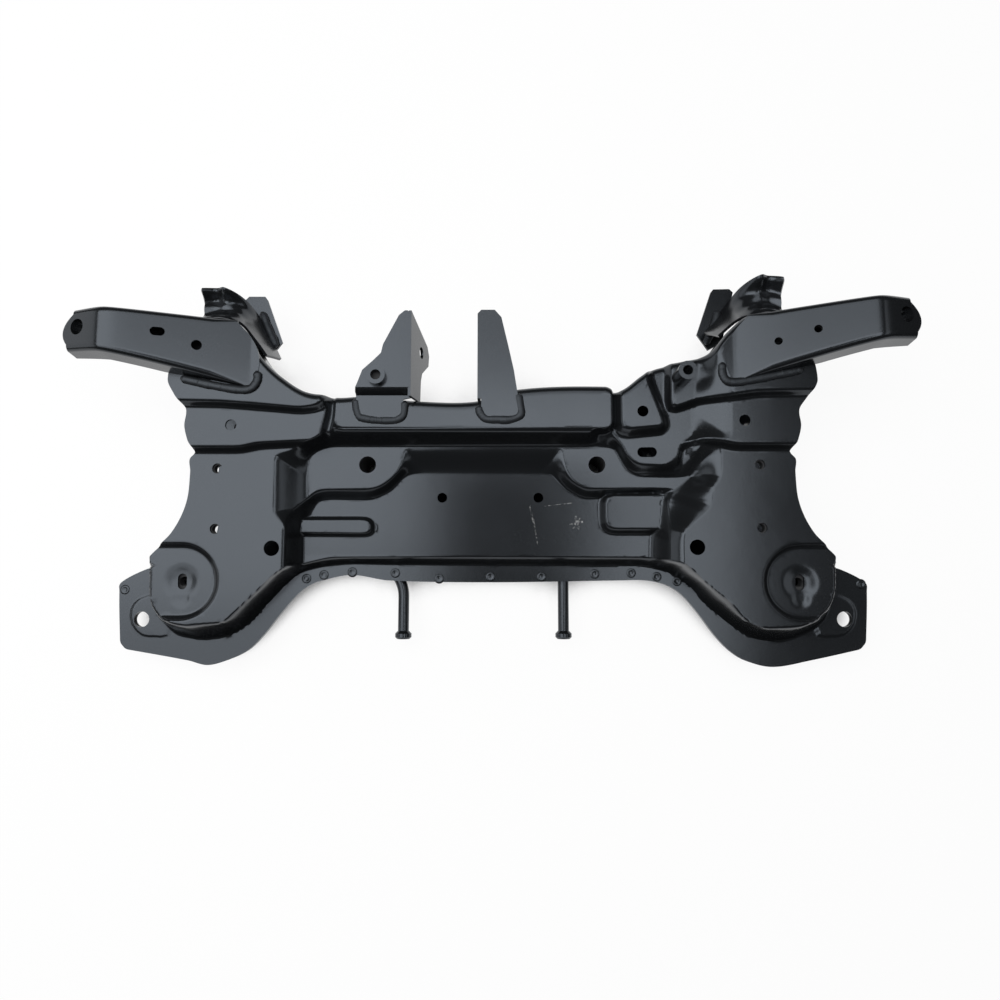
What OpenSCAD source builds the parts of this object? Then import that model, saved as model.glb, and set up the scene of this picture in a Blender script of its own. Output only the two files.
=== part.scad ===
// Front subframe of a car: two pressed steel shells, spot-welded at the rear flange into a box.
// Frame in millimetres: X across the car, Y forward, Z up, origin under the middle of the part.

/* [Sheet] */
// Thickness of the pressed sheets
sheet = 3; // [2:0.1:4]
// Gap left where two pieces seat on each other
seat = 0.1; // [0.05:0.05:0.3]
// Gap between the two sheets of a welded lap
lap_gap = 0.3; // [0.2:0.1:0.5]

/* [Pressing levels] */
// Height of the rear flange and of the mounting ears
flange_height = 38; // [34:1:42]
// Height of the lowest part of the centre floor
floor_height = 53; // [50:1:58]
// Fall of the centre floor towards the rear
floor_fall = 4; // [0:1:6]
// Height of the two engine-side pads
pad_height = 70; // [66:1:74]
// Height of the round seats over the rear bushes
recess_height = 80; // [77:1:84]
// Height of the flat sides over the control arms
side_height = 90; // [86:1:94]
// Height of the cross beam at the front
beam_height = 97; // [95:1:99]
// Height of the shoulders beside the beam
shoulder_height = 100; // [98:1:104]
// Height of the ledges that carry the arms
ledge_height = 110; // [106:1:114]
// Drop of the shelf on the right, beside the beam
shelf_drop = 15; // [10:1:18]
// Bend radius along the front edge
front_bend = 8; // [6:1:10]
// Depth of the front wall below the bend
front_wall = 34; // [28:1:38]

/* [Lower shell] */
// Height to which the front wall of the lower shell rises
lower_wall_top = 72; // [66:1:76]

/* [Holes] */
// Radius of the rear body holes in the ears
body_hole_radius = 8.4; // [7:0.1:9.5]
// Radius of the holes in the pads
pad_hole_radius = 9; // [7:0.1:9.5]
// Radius of the large holes in the sides
side_hole_radius = 8; // [7:0.1:9]
// Radius of the clearance holes above the weld nuts
nut_hole_radius = 5.3; // [5.1:0.1:6]
// Radius of the tapped bores in the weld nuts
thread_radius = 4.25; // [4:0.05:4.6]
// Radius of the holes in the shoulders
shoulder_hole_radius = 5.8; // [5:0.1:7]
// Half length between the round ends of the rear bush slots
bush_slot = 3.4; // [2:0.2:4]
// Radius of the round ends of the rear bush slots
bush_slot_radius = 4.7; // [4:0.1:5.5]

/* [Arms] */
// Height of the arm above its ledge at the inner end
arm_root = 5; // [4.5:0.5:7]
// Slope of the arm face in degrees
arm_slope = 18; // [15:0.5:20]
// Slope of the bent-down end face in degrees
end_slope = 20; // [16:1:24]
// Depth of the arm channel at the bend
arm_depth = 27; // [24:1:30]
// Radius of the front body holes
front_hole_radius = 8; // [7:0.1:9]

/* [Roll mount] */
// Radius of the bolt holes in the ears
roll_hole_radius = 6.2; // [5.2:0.1:7]
// Height of the bolt axis
roll_axis_height = 78; // [74:1:84]
// Forward place of the bolt axis
roll_axis_forward = 126; // [122:1:130]
// Splay of the left ear's side plate in degrees
ear_splay = 12; // [9:0.5:14]

/* [Small parts] */
// Radius of the exhaust hanger rods
rod_radius = 6; // [5:0.5:6.5]
// Width across the flats of the weld nuts
nut_width = 16; // [14:0.5:17]
// Height of the weld nuts
nut_height = 9; // [7:0.5:11]
// Radius of the threaded boss
boss_radius = 9.5; // [9:0.1:10.2]
// Height of the threaded boss
boss_height = 31; // [26:1:34]

/* [Part] */
// Name of the piece to build, or all

/* [Hidden] */
paint = [0.1, 0.1, 0.11];
bare_steel = [0.5, 0.5, 0.52];
$fn = 48;

// Outline of the pressing: half width against the forward place, and the two long edges against X
side_edge = [[-190, 404], [-127, 408], [-117, 406], [-102, 378], [-97, 357], [-90, 356], [-65, 332],
             [-34, 318], [0, 315], [14, 316], [22, 310], [32, 315], [48, 319], [66, 318], [80, 327],
             [96, 334], [140, 326]];
rear_edge = [[-404, -190], [-330, -203], [-309, -208], [-288, -203], [-265, -192], [-249, -176],
             [-232, -154], [-214, -133], [-200, -122], [-187, -117], [-155, -111], [-114, -117],
             [0, -119], [140, -117], [167, -117], [189, -122], [206, -133], [224, -154], [240, -176],
             [255, -192], [272, -203], [302, -210], [344, -203], [404, -190]];
front_edge = [[-326, 140], [-298, 156], [-270, 153], [-251, 130], [-238, 111], [-219, 93], [-193, 77],
              [-162, 74], [-138, 75], [-76, 70], [-18, 70], [28, 83], [118, 86], [133, 81], [156, 97],
              [171, 107], [198, 113], [222, 118], [230, 123], [244, 140], [266, 158], [298, 162],
              [326, 140]];

// Embossed regions of the upper pressing, each the outline of its flat top or floor
shoulder = [[-430, 22], [-261, 22], [-245, 26], [-189, 29], [-158, 31], [111, 33], [123, 27], [136, -4],
            [192, -4], [196, 27], [217, 32], [235, 29], [252, 25], [430, 25], [430, 260], [-430, 260]];
left_ledge = [[-430, 71], [-280, 68], [-241, 65], [-197, 61], [-179, 64], [-175, 72], [-179, 260],
              [-430, 260]];
right_ledge = [[188, 65], [199, 68], [215, 74], [246, 75], [274, 79], [430, 82], [430, 260], [192, 260]];
shelf_rim = [[101, -8], [205, -8], [216, 24], [247, 29], [248, 76], [235, 113], [220, 260], [101, 260]];
shelf_floor = [[112, -3], [195, -3], [199, 29], [209, 33], [211, 82], [217, 113], [200, 260], [112, 260]];
right_groove = [[118, 20], [137, 20], [137, 260], [118, 260]];
left_groove = [[-171, 21], [-164, 21], [-164, 260], [-171, 260]];
beam = [[-163, 42], [124, 41], [124, 260], [-163, 260]];
front_block = [[136, 41], [168, 44], [177, 45], [169, 68], [160, 93], [150, 260], [136, 260]];
trough_rim = [[-210, -260], [-210, -96], [-211, -72], [-217, -58], [-228, -48], [-228, 15], [-212, 18],
              [-184, 30], [-169, 40], [124, 41], [129, 33], [136, 24], [141, 13], [151, 5], [183, 4],
              [194, 13], [200, 24], [220, 28], [239, 22], [238, -10], [229, -20], [227, -41],
              [207, -58], [197, -68], [196, -260]];
trough_floor = [[-200, -260], [-200, -88], [-200, -71], [-199, -53], [-196, -43], [-198, 11], [-190, 20],
                [-175, 25], [121, 25], [131, 23], [136, 13], [143, 0], [155, -7], [199, -8], [213, -5],
                [196, -19], [185, -27], [179, -53], [171, -74], [169, -260]];
floor_rim = [[-215, -260], [-215, -48], [-205, -37], [-187, -20], [-126, -19], [-115, -14], [-102, -3],
             [-96, 11], [-95, 24], [74, 24], [75, 13], [78, 0], [85, -11], [98, -19], [194, -19],
             [186, -32], [181, -260]];
floor_flat = [[-204, -260], [-204, -63], [-196, -43], [-190, -32], [-177, -30], [-131, -31], [-110, -21],
              [-98, -6], [-88, -2], [62, -2], [68, -8], [78, -19], [98, -30], [118, -29], [176, -24],
              [169, -74], [167, -260]];
step_pad = [[122, -28], [185, -27], [179, -61], [127, -61], [122, -56]];
floor_bead = [[-224, -53], [-136, -53], [-132, -57], [-132, -63], [-136, -66], [-224, -65]];
flange_rim = [[-440, -98], [-358, -100], [-354, -137], [-345, -153], [-329, -160], [-315, -163],
              [-298, -161], [-275, -160], [-266, -151], [-246, -132], [-228, -113], [-209, -100],
              [-176, -92], [0, -91], [169, -92], [200, -100], [223, -123], [245, -140], [257, -157],
              [276, -166], [315, -164], [334, -156], [348, -143], [356, -127], [358, -98],
              [440, -98], [440, -300], [-440, -300]];
flange_foot = [[-440, -106], [-376, -106], [-373, -138], [-366, -157], [-343, -176], [-315, -181],
               [-285, -177], [-262, -162], [-245, -141], [-227, -122], [-211, -113], [-187, -113],
               [-155, -110], [-114, -115], [0, -117], [161, -115], [188, -118], [215, -128],
               [231, -145], [257, -164], [277, -178], [298, -183], [318, -182], [346, -171], [364, -158],
               [373, -138], [376, -106], [440, -106], [440, -300], [-440, -300]];
step_run = 8;
bush_left = [-321.5, -118];
bush_right = [318, -119];
recess_radius = 35;

// Places of the holes
ear_holes = [[-382, -159], [382, -159]];
pad_holes = [[-134, 6], [111, 6]];
floor_holes = [[-55, -28], [49, -28]];
side_holes = [[-228, -84], [211, -83]];
left_nut_places = [[-287, -1], [-287, -64]];
right_nut_places = [[278.5, 3], [278.5, -63]];
shoulder_holes = [[-271, 43], [294, 48]];
block_hole = [156, 58];
shelf_slot = [162, 17];
boss_place = [197, 94];

// Stations of the pressing grid, across and from the rear edge forward
core_half = 318;
column_steps = [for (k = [-27:27]) let (n = abs(k))
    sign(k) * (n < 19 ? 0.8 * n / 19 : 0.8 + 0.2 * (n - 19) / 8)];
row_steps = concat([0, 0.03, 0.06, 0.09, 0.12, 0.155], [for (k = [1:16]) 0.155 + 0.845 * k / 16]);
lap_rows = 3;
lower_rows = [0.16, 0.2, 0.28, 0.36, 0.5, 0.64, 0.74, 0.84, 0.92, 1];
lower_inset = 1.5;
lower_bend = 8;
lower_front_limit = 82;
pan_rib = 10;
pan_middle = [[-180, -62], [172, -62], [172, 32], [-180, 32]];
bush_access_radius = 13;
drain_holes = [[-40, -76], [40, -76], [-296, 60], [296, 60]];
rear_corner = side_edge[0];
front_corner = side_edge[len(side_edge) - 1];

// Curves and distances
function clamp01(t) = min(1, max(0, t));
function ease(t) = let (c = clamp01(t)) c * c * (3 - 2 * c);
function mix(a, b, t) = a + (b - a) * t;
function slope_at(pts, i) = let (a = max(0, i - 1), b = min(len(pts) - 1, i + 1))
    (pts[b][1] - pts[a][1]) / (pts[b][0] - pts[a][0]);
function span_of(pts, x) = max([0, for (i = [0:len(pts) - 2]) if (x >= pts[i][0]) i]);
function curve(pts, x) = let (i = span_of(pts, x), a = pts[i], b = pts[i + 1], w = b[0] - a[0],
    t = clamp01((x - a[0]) / w), t2 = t * t, t3 = t2 * t)
    a[1] * (2 * t3 - 3 * t2 + 1) + b[1] * (3 * t2 - 2 * t3)
    + w * (slope_at(pts, i) * (t3 - 2 * t2 + t) + slope_at(pts, i + 1) * (t3 - t2));
function edge_distance(p, a, b) = let (ab = b - a, s = clamp01((p - a) * ab / (ab * ab)))
    norm(p - a - s * ab);
function crossings(p, line) = len([for (i = [0:len(line) - 1])
    let (a = line[i], b = line[(i + 1) % len(line)])
    if ((a[1] > p[1]) != (b[1] > p[1]) && p[0] < a[0] + (p[1] - a[1]) * (b[0] - a[0]) / (b[1] - a[1])) 1]);
function distance_out(p, line) = (crossings(p, line) % 2 == 1 ? -1 : 1)
    * min([for (i = [0:len(line) - 1]) edge_distance(p, line[i], line[(i + 1) % len(line)])]);
function raised(p, line, run) = ease(1 - distance_out(p, line) / run);
function drawn(p, rim, foot) = let (a = max(0, -distance_out(p, rim)), b = max(0, distance_out(p, foot)))
    ease(a / (a + b + 0.001));
function round_step(p, centre, radius, run) = ease(1 - (norm(p - centre) - radius) / run);

// Height of the upper pressing, one emboss after another
function plain_height(p) = let (
    shoulders = mix(side_height, shoulder_height, raised(p, shoulder, step_run)),
    ledges = mix(shoulders, ledge_height,
        max(raised(p, left_ledge, step_run), raised(p, right_ledge, step_run))),
    shelf = ledges - shelf_drop * drawn(p, shelf_rim, shelf_floor),
    grooved = mix(mix(shelf, shoulder_height - shelf_drop, raised(p, right_groove, 5)),
        beam_height - 3, raised(p, left_groove, 4)),
    block = mix(grooved, beam_height + 1, raised(p, front_block, 11)),
    beamed = mix(block, beam_height, raised(p, beam, 5)),
    trough = mix(beamed, pad_height, drawn(p, trough_rim, trough_floor)),
    floor_level = floor_height + floor_fall * clamp01((p[1] + 90) / 90),
    deep = mix(trough, floor_level, drawn(p, floor_rim, floor_flat)),
    stepped = mix(deep, floor_height + 10, raised(p, step_pad, 8)),
    beaded = mix(stepped, floor_height + 6, raised(p, floor_bead, 5)),
    recess = max(round_step(p, bush_left, recess_radius, step_run),
        round_step(p, bush_right, recess_radius, step_run)))
    mix(beaded, recess_height, recess);
function panel_height(p) = mix(plain_height(p), flange_height, drawn(p, flange_rim, flange_foot));

// Plan place on the pressing for a column and a row
function half_width(row) = curve(side_edge, mix(rear_corner[0], front_corner[0], row));
function across(column, width) = let (u = abs(column))
    sign(column) * (u * core_half + ease((u - 0.8) / 0.2) * (width - core_half));
function plan_place(column, row, front_inset) = let (
    rear = curve(rear_edge, across(column, rear_corner[1])),
    front = curve(front_edge, across(column, front_corner[1])) - front_inset)
    [across(column, half_width(row)), mix(rear, front, row)];
function with_height(p, z) = [p[0], p[1], z];

// A pressed sheet: a grid of surface points, thickened against its normals
function grid_normal(grid, r, c) = let (rows = len(grid) - 1, cols = len(grid[0]) - 1,
    sideways = grid[r][min(c + 1, cols)] - grid[r][max(c - 1, 0)],
    along = grid[min(r + 1, rows)][c] - grid[max(r - 1, 0)][c],
    n = cross(sideways, along)) n / norm(n);
function below(grid, r, c, depth) = [0, 0, -depth / max(0.8, grid_normal(grid, r, c)[2])];
function above_ground(p) = [p[0], p[1], max(0, p[2])];
function two_faces(a, b, c, d) = [[a, b, c], [a, c, d]];
module pressed(grid, thickness, drawn_rows = 0) {
    rows = len(grid);
    cols = len(grid[0]);
    outer = [for (r = [0:rows - 1]) for (c = [0:cols - 1]) grid[r][c]];
    inner = [for (r = [0:rows - 1]) for (c = [0:cols - 1]) above_ground(
        grid[r][c] + (r < drawn_rows ? below(grid, r, c, thickness)
            : -thickness * grid_normal(grid, r, c)))];
    n = rows * cols;
    last = (rows - 1) * cols;
    faces = concat(
        [for (r = [0:rows - 2]) for (c = [0:cols - 2]) let (i = r * cols + c)
            each two_faces(i, i + cols, i + cols + 1, i + 1)],
        [for (r = [0:rows - 2]) for (c = [0:cols - 2]) let (i = n + r * cols + c)
            each [[i, i + cols + 1, i + cols], [i, i + 1, i + cols + 1]]],
        [for (c = [0:cols - 2]) each two_faces(c, c + 1, n + c + 1, n + c)],
        [for (c = [0:cols - 2]) each two_faces(last + c + 1, last + c, n + last + c, n + last + c + 1)],
        [for (r = [0:rows - 2]) let (i = r * cols) each two_faces(i + cols, i, n + i, n + i + cols)],
        [for (r = [0:rows - 2]) let (i = r * cols + cols - 1)
            each two_faces(i, i + cols, n + i + cols, n + i)]);
    polyhedron(points = concat(outer, inner), faces = faces);
}
module drill(place, radius) {
    translate([place[0], place[1], -5])
        rotate([0, 0, 11])
            cylinder(r = radius, h = 200);
}
module drill_slot(place, half, radius, turn) {
    translate([place[0], place[1], -5])
        rotate([0, 0, turn])
            linear_extrude(200)
                hull() {
                    translate([half, 0])
                        circle(r = radius, $fn = 24);
                    translate([-half, 0])
                        circle(r = radius, $fn = 24);
                }
}

// Upper shell with its embosses, the rolled front edge and the front wall
function upper_flat() = [for (row = row_steps) [for (x = column_steps)
    let (p = plan_place(x, row, front_bend))
    with_height(p, panel_height(p))]];
module upper_panel() {
    flat_rows = upper_flat();
    edge = flat_rows[len(flat_rows) - 1];
    bend_rows = [for (a = [30:30:90]) [for (q = edge) q + front_bend * [0, sin(a), cos(a) - 1]]];
    wall_rows = [for (k = [1:2]) [for (q = edge) q + [0, front_bend, -front_bend - front_wall * k / 2]]];
    color(paint)
        difference() {
            pressed(concat(flat_rows, bend_rows, wall_rows), sheet);
            for (place = ear_holes)
                drill(place, body_hole_radius);
            for (place = pad_holes)
                drill(place, pad_hole_radius);
            for (place = side_holes)
                drill(place, side_hole_radius);
            for (place = concat(floor_holes, left_nut_places, right_nut_places))
                drill(place, nut_hole_radius);
            for (place = concat(shoulder_holes, [block_hole]))
                drill(place, shoulder_hole_radius);
            drill_slot(shelf_slot, 5, nut_hole_radius, 0);
            drill_slot(bush_left, bush_slot, bush_slot_radius, 90);
            drill_slot(bush_right, bush_slot, bush_slot_radius, 90);
        }
}

// Lower shell: rear lap under the flange, flat pan with a raised middle, front wall inside the upper one
function lap_rows_of(grid) = [for (r = [0:lap_rows - 1]) [for (c = [0:len(column_steps) - 1])
    grid[r][c] - (sheet + lap_gap) * grid_normal(grid, r, c)]];
function pan_height(p) = let (
    pan = mix(sheet, sheet + pan_rib, raised(p, pan_middle, 14)))
    mix(pan, flange_height - sheet - lap_gap - 0.8, raised(p, flange_foot, 20));
function lower_place(x, row) = let (
    rear = curve(rear_edge, across(x, rear_corner[1])),
    inside = curve(front_edge, across(x, front_corner[1])) - 2 * sheet - lower_inset,
    front = min(inside, lower_front_limit) - lower_bend)
    [across(x, half_width(row)), mix(rear, front, row)];
module lower_panel() {
    upper_rows = [for (row = [0:lap_rows]) [for (x = column_steps)
        let (p = plan_place(x, row_steps[row], front_bend)) with_height(p, panel_height(p))]];
    pan_rows = [for (row = lower_rows) [for (x = column_steps) let (p = lower_place(x, row))
        with_height(p, pan_height(p))]];
    edge = pan_rows[len(pan_rows) - 1];
    bend_rows = [for (a = [45:45:90]) [for (q = edge) q + lower_bend * [0, sin(a), 1 - cos(a)]]];
    wall_row = [for (q = edge) [q[0], q[1] + lower_bend, lower_wall_top]];
    color(paint)
        difference() {
            pressed(concat(lap_rows_of(upper_rows), pan_rows, bend_rows, [wall_row]), sheet,
                lap_rows + len(pan_rows));
            for (place = ear_holes)
                drill(place, body_hole_radius);
            for (place = pad_holes)
                drill(place, pad_hole_radius);
            for (place = side_holes)
                drill(place, side_hole_radius);
            drill(bush_left, bush_access_radius);
            drill(bush_right, bush_access_radius);
            for (place = drain_holes)
                drill(place, shoulder_hole_radius);
        }
}

// Arms that rise from the ledges to the body rails; the distance is measured outwards from the middle
arm_front = [[253, 150], [271, 150], [310, 151], [384, 152], [430, 151]];
arm_rear = [[240, 78], [253, 81], [320, 95.5], [384, 106.5], [430, 110]];
arm_start = 262;
arm_bend = 384;
function arm_shift(side, a) = side > 0 ? 6 + (a - 260) * 0.045 : 0;
function arm_top(a) = ledge_height + arm_root
    + tan(arm_slope) * (min(max(a, arm_start), arm_bend) - arm_start)
    - tan(end_slope) * max(0, a - arm_bend);
function arm_bottom(a) = let (low = ledge_height + 0.7, bend_low = arm_top(arm_bend) - arm_depth)
    a <= 336 ? low : a <= arm_bend ? mix(low, bend_low, (a - 336) / (arm_bend - 336))
    : bend_low - (a - arm_bend) * 0.2;
arm_splay = 0.1;
arm_corner = 6;
function arm_reach(s, side_ways) = mix(mix(271, end_reach + end_land[0], s),
    mix(253, end_reach + end_land[1], s), side_ways)
    + 4 * side_ways * (1 - side_ways) * mix(-12, 8, s);
function arm_point(side, s, side_ways, out, down) = let (a = arm_reach(s, side_ways),
    top = arm_top(a), low = arm_bottom(a), corner = min(arm_corner, (top - low) / 2),
    front = curve(arm_front, a), rear = curve(arm_rear, a),
    y = side_ways == 0 ? front - corner * (1 - out) : side_ways == 1 ? rear + corner * (1 - out)
        : mix(front, rear, side_ways),
    splay = (top - low) * arm_splay * (down - 1) * (side_ways == 1 ? -1 : 1),
    z = down <= 1 ? top - corner * down : mix(top - corner, low, down - 1))
    [side * a, y + arm_shift(side, a) + (down > 1 ? splay : 0), z];
arm_stations = [0, 0.12, 0.3, 0.5, 0.64, 0.72, 0.77, 0.82, 0.9, 1];
arm_profile = [[1, 1, 2], [1, 1, 1], [1, 0.7, 0.3], [1, 0, 0], [0.5, 0, 0], [0, 0, 0], [0, 0.7, 0.3],
               [0, 1, 1],
               [0, 1, 2]];
module arm(side, cuts) {
    stations = side > 0 ? arm_stations : [for (i = [len(arm_stations) - 1:-1:0]) arm_stations[i]];
    grid = [for (k = arm_profile) [for (s = stations) arm_point(side, s, k[0], k[1], k[2])]];
    color(paint)
        difference() {
            pressed(grid, sheet);
            end_drill(side);
            for (cut = cuts)
                face_drill(side, cut);
        }
}
function end_place(side) = [side * end_reach, end_forward + arm_shift(side, end_reach), arm_top(end_reach)];
module end_drill(side) {
    translate(end_place(side))
        rotate([0, side * end_slope, 0])
            translate([0, 0, -60])
                cylinder(r = front_hole_radius, h = 90);
}
module face_drill(side, cut) {
    translate([side * cut[0], cut[1], arm_top(cut[0])])
        rotate([0, -side * arm_slope, 0])
            translate([0, 0, -15])
                drill_slot([0, 0], cut[3], cut[2], 0);
}
end_reach = 411;
end_forward = 132.5;
end_land = [5, 12];
left_cuts = [[334, 130, 4.4, 2.6], [299, 119.5, 5.2, 0]];
right_cuts = [[290, 124.5, 4, 0], [326, 133.5, 4, 0]];
module left_arm() {
    arm(-1, left_cuts);
}
module right_arm() {
    arm(1, right_cuts);
}

// Plates that close the arms from below, from the edge of the ledge to the outer end
module arm_plate(side) {
    reach = [for (k = [0, 20, 44, 60, 75]) mix(340, end_reach + end_land[0] - 1, k / 75)];
    stations = side > 0 ? reach : [for (i = [len(reach) - 1:-1:0]) reach[i]];
    inset = sheet + plate_gap - arm_splay * arm_depth;
    rear_row = [for (a = stations)
        [side * a, curve(arm_rear, a) + arm_shift(side, a) + inset, arm_bottom(a) + sheet]];
    front_row = [for (a = stations) [side * a, curve(arm_front, a) + arm_shift(side, a) - inset,
        arm_bottom(a) + sheet]];
    color(paint)
        difference() {
            pressed([rear_row, front_row], sheet);
            end_drill(side);
        }
}
plate_gap = 1;
module left_arm_plate() {
    arm_plate(-1);
}
module right_arm_plate() {
    arm_plate(1);
}

// Front bush brackets: aprons that wrap the front corners, with a flared lip ahead and a steep inner wall
bracket_steps = [[320, -2, 43, 80, 93], [306, 2, 38, 80, 94], [290, 5, 33, 80, 94], [276, 6, 28, 76, 70],
                 [266, 7, 17, 70, 47], [254, 6, 9, 72, 47], [242, 5, 6, 76, 58]];
bracket_start = 92;
function bracket_point(side, k, w, extra) = let (x = side * k[0], y = curve(front_edge, x) + bracket_gap,
    z = curve([[0, bracket_start], [0.5, k[3]], [1, k[4]]], w))
    [x - side * k[1] * w + side * bracket_gap * (k[0] - bracket_middle) / 34, y + (k[2] + extra) * w, z];
module bush_bracket(side, extra) {
    steps = side > 0 ? [for (i = [len(bracket_steps) - 1:-1:0]) bracket_steps[i]] : bracket_steps;
    grid = [for (w = [0, 0.2, 0.4, 0.6, 0.8, 0.92, 1]) [for (k = steps) bracket_point(side, k, w, extra)]];
    color(paint)
        pressed(grid, sheet);
}
bracket_gap = 3.15;
bracket_middle = 286;
module left_bush_bracket() {
    bush_bracket(-1, 0);
}
module right_bush_bracket() {
    bush_bracket(1, 8);
}

// Flat plates welded under the inner foot of the brackets
module bracket_plate(points) {
    color(paint)
        translate([0, 0, bracket_plate_top - sheet])
            linear_extrude(sheet)
                polygon(points);
}
bracket_plate_top = 45.6;
module left_bracket_plate() {
    bracket_plate([[-280, 196], [-275, 201], [-257, 201], [-254, 197], [-236, 148], [-249, 131],
                   [-264, 141]]);
}
module right_bracket_plate() {
    bracket_plate([[270, 206], [266, 209.9], [248, 209.5], [245, 206], [228, 157], [240, 139],
                   [256, 148]]);
}

// Roll mount ears: bent plates cut from a side profile and a plan outline, with a side plate for the bolt
left_ear_plan = [[-142, 55], [-138, 50], [-98, 50], [-93, 55], [-93, 70], [-84, 72], [-84, 157], [-88, 161],
                 [-91, 161], [-97, 156], [-113, 125], [-115, 116], [-123, 108], [-134, 98], [-138, 87],
                 [-142, 77]];
right_ear_plan = [[-12, 55], [-8, 51], [24, 51], [28, 56], [26, 75], [22, 101], [16, 128], [9, 158],
                  [2, 166], [-12, 166], [-16, 162], [-16, 73], [-12, 71]];
ear_side = [[71, 0], [161, 0], [139, -56], [130, -62], [118, -60], [104, -38], [95, -34], [71, -32]];
ear_step = 12;
module side_profile(points, from, to) {
    translate([from, 0, 0])
        rotate([90, 0, 90])
            linear_extrude(to - from)
                polygon(points);
}
module left_roll_ear() {
    low = beam_height + seat;
    high = low + ear_step;
    color(paint)
        difference() {
            union() {
                intersection() {
                    side_profile([[40, low], [76, low], [82, high], [170, high], [170, high + sheet],
                        [80, high + sheet], [74, low + sheet], [40, low + sheet]], -150, -80);
                    translate([0, 0, low - 5])
                        linear_extrude(40)
                            polygon(left_ear_plan);
                }
                translate([-84, 0, high + sheet])
                    rotate([0, -ear_splay, 0])
                        side_profile(ear_side, -sheet, 0);
            }
            roll_drill();
            translate([collar_place[0], collar_place[1], low])
                cylinder(r = thread_radius + 1, h = 40);
        }
}
module right_roll_ear() {
    low = beam_height + seat;
    color(paint)
        difference() {
            union() {
                translate([0, 0, low])
                    linear_extrude(sheet)
                        polygon(right_ear_plan);
                translate([-16, 0, low + sheet])
                    side_profile(ear_side, 0, sheet);
            }
            roll_drill();
        }
}
module roll_drill() {
    translate([-120, roll_axis_forward, roll_axis_height])
        rotate([0, 90, 0])
            cylinder(r = roll_hole_radius, h = 140);
}
collar_place = [-119, 91];
module roll_ear_collar() {
    color(bare_steel)
        translate([collar_place[0], collar_place[1], beam_height + seat + ear_step + sheet + seat])
            difference() {
                cylinder(r = boss_radius, h = 8);
                translate([0, 0, -1])
                    cylinder(r = thread_radius + 1, h = 10);
            }
}
module roll_ear_nut() {
    color(bare_steel)
        translate([-16 + sheet + seat, roll_axis_forward, roll_axis_height])
            rotate([0, 90, 0])
                difference() {
                    cylinder(d = (nut_width + 2) / cos(30), h = nut_height + 2, $fn = 6);
                    translate([0, 0, -1])
                        cylinder(r = roll_hole_radius - 1, h = nut_height + 4);
                }
}

// Boss with a thread on the right ledge
module threaded_boss() {
    color(paint)
        translate([boss_place[0], boss_place[1], ledge_height - shelf_drop + seat])
            difference() {
                cylinder(r = boss_radius, h = boss_height);
                translate([0, 0, -1])
                    cylinder(r = thread_radius + 0.85, h = boss_height + 2);
            }
}

// Exhaust hanger rods under the rear flange, each with a mushroom head
rod_height = flange_height - 2 * sheet - lap_gap - seat - rod_radius - 0.6;
module rod_head(x) {
    translate([x, rod_end, rod_height])
        rotate([90, 0, 0])
            rotate_extrude()
                polygon([[0, 0], [rod_radius, 0], [9, 3], [9, 7], [7, 9], [0, 9]]);
}
rod_end = -172;
module left_hanger_rod() {
    color(paint) {
        translate([-99, rod_end, rod_height])
            rotate([-90, 0, 0])
                cylinder(r = rod_radius, h = 37);
        translate([-99 - 40, rod_end + 37, rod_height])
            rotate_extrude(angle = 38)
                translate([40, 0])
                    circle(r = rod_radius);
        rod_head(-99);
    }
}
module right_hanger_rod() {
    color(paint) {
        translate([77.5, rod_end, rod_height])
            rotate([-90, 0, 0])
                cylinder(r = rod_radius, h = 62);
        rod_head(77.5);
    }
}

// Weld nuts under the sides and under the right arm
nut_seat = 0.5;
module weld_nut(place, top, height) {
    translate([place[0], place[1], top - height])
        difference() {
            cylinder(d = nut_width / cos(30), h = height, $fn = 6);
            translate([0, 0, -1])
                cylinder(r = thread_radius, h = height + 2);
        }
}
module left_gear_nuts() {
    color(bare_steel)
        for (place = left_nut_places)
            weld_nut(place, side_height - sheet - nut_seat, nut_height);
}
module right_gear_nuts() {
    color(bare_steel)
        for (place = right_nut_places)
            weld_nut(place, side_height - sheet - nut_seat, nut_height);
}
module bush_nut(place) {
    color(bare_steel)
        translate([place[0], place[1], recess_height - sheet - nut_seat - 14])
            difference() {
                union() {
                    cylinder(r = 8.6, h = 14);
                    translate([0, 0, 11])
                        cylinder(r = 9.8, h = 3);
                }
                translate([0, 0, -1])
                    cylinder(r = thread_radius + 0.85, h = 16);
            }
}
module left_bush_nut() {
    bush_nut(bush_left);
}
module right_bush_nut() {
    bush_nut(bush_right);
}
module right_arm_nuts() {
    color(bare_steel)
        for (cut = right_cuts)
            translate([cut[0], cut[1], arm_top(cut[0])])
                rotate([0, -arm_slope, 0])
                    weld_nut([0, 0], -sheet - seat - 0.1, 6);
}

// Crush sleeves between the two shells
module sleeve(place, radius, low, high) {
    translate([place[0], place[1], low])
        difference() {
            cylinder(r = radius + 3.5, h = high - low);
            translate([0, 0, -1])
                cylinder(r = radius, h = high - low + 2);
        }
}
module pad_sleeves() {
    color(bare_steel)
        for (place = pad_holes)
            sleeve(place, pad_hole_radius, sheet + pan_rib + seat, pad_height - sheet - nut_seat);
}

upper_panel();
lower_panel();
left_arm();
right_arm();
left_arm_plate();
right_arm_plate();
left_bush_bracket();
right_bush_bracket();
left_bracket_plate();
right_bracket_plate();
left_roll_ear();
right_roll_ear();
roll_ear_collar();
roll_ear_nut();
threaded_boss();
left_hanger_rod();
right_hanger_rod();
left_gear_nuts();
right_gear_nuts();
left_bush_nut();
right_bush_nut();
pad_sleeves();
right_arm_nuts();
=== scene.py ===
"""Front subframe of a car: the pressed shells, arms and brackets dressed around their solids."""

import logging
import math
from dataclasses import dataclass, field
from enum import Enum

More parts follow.
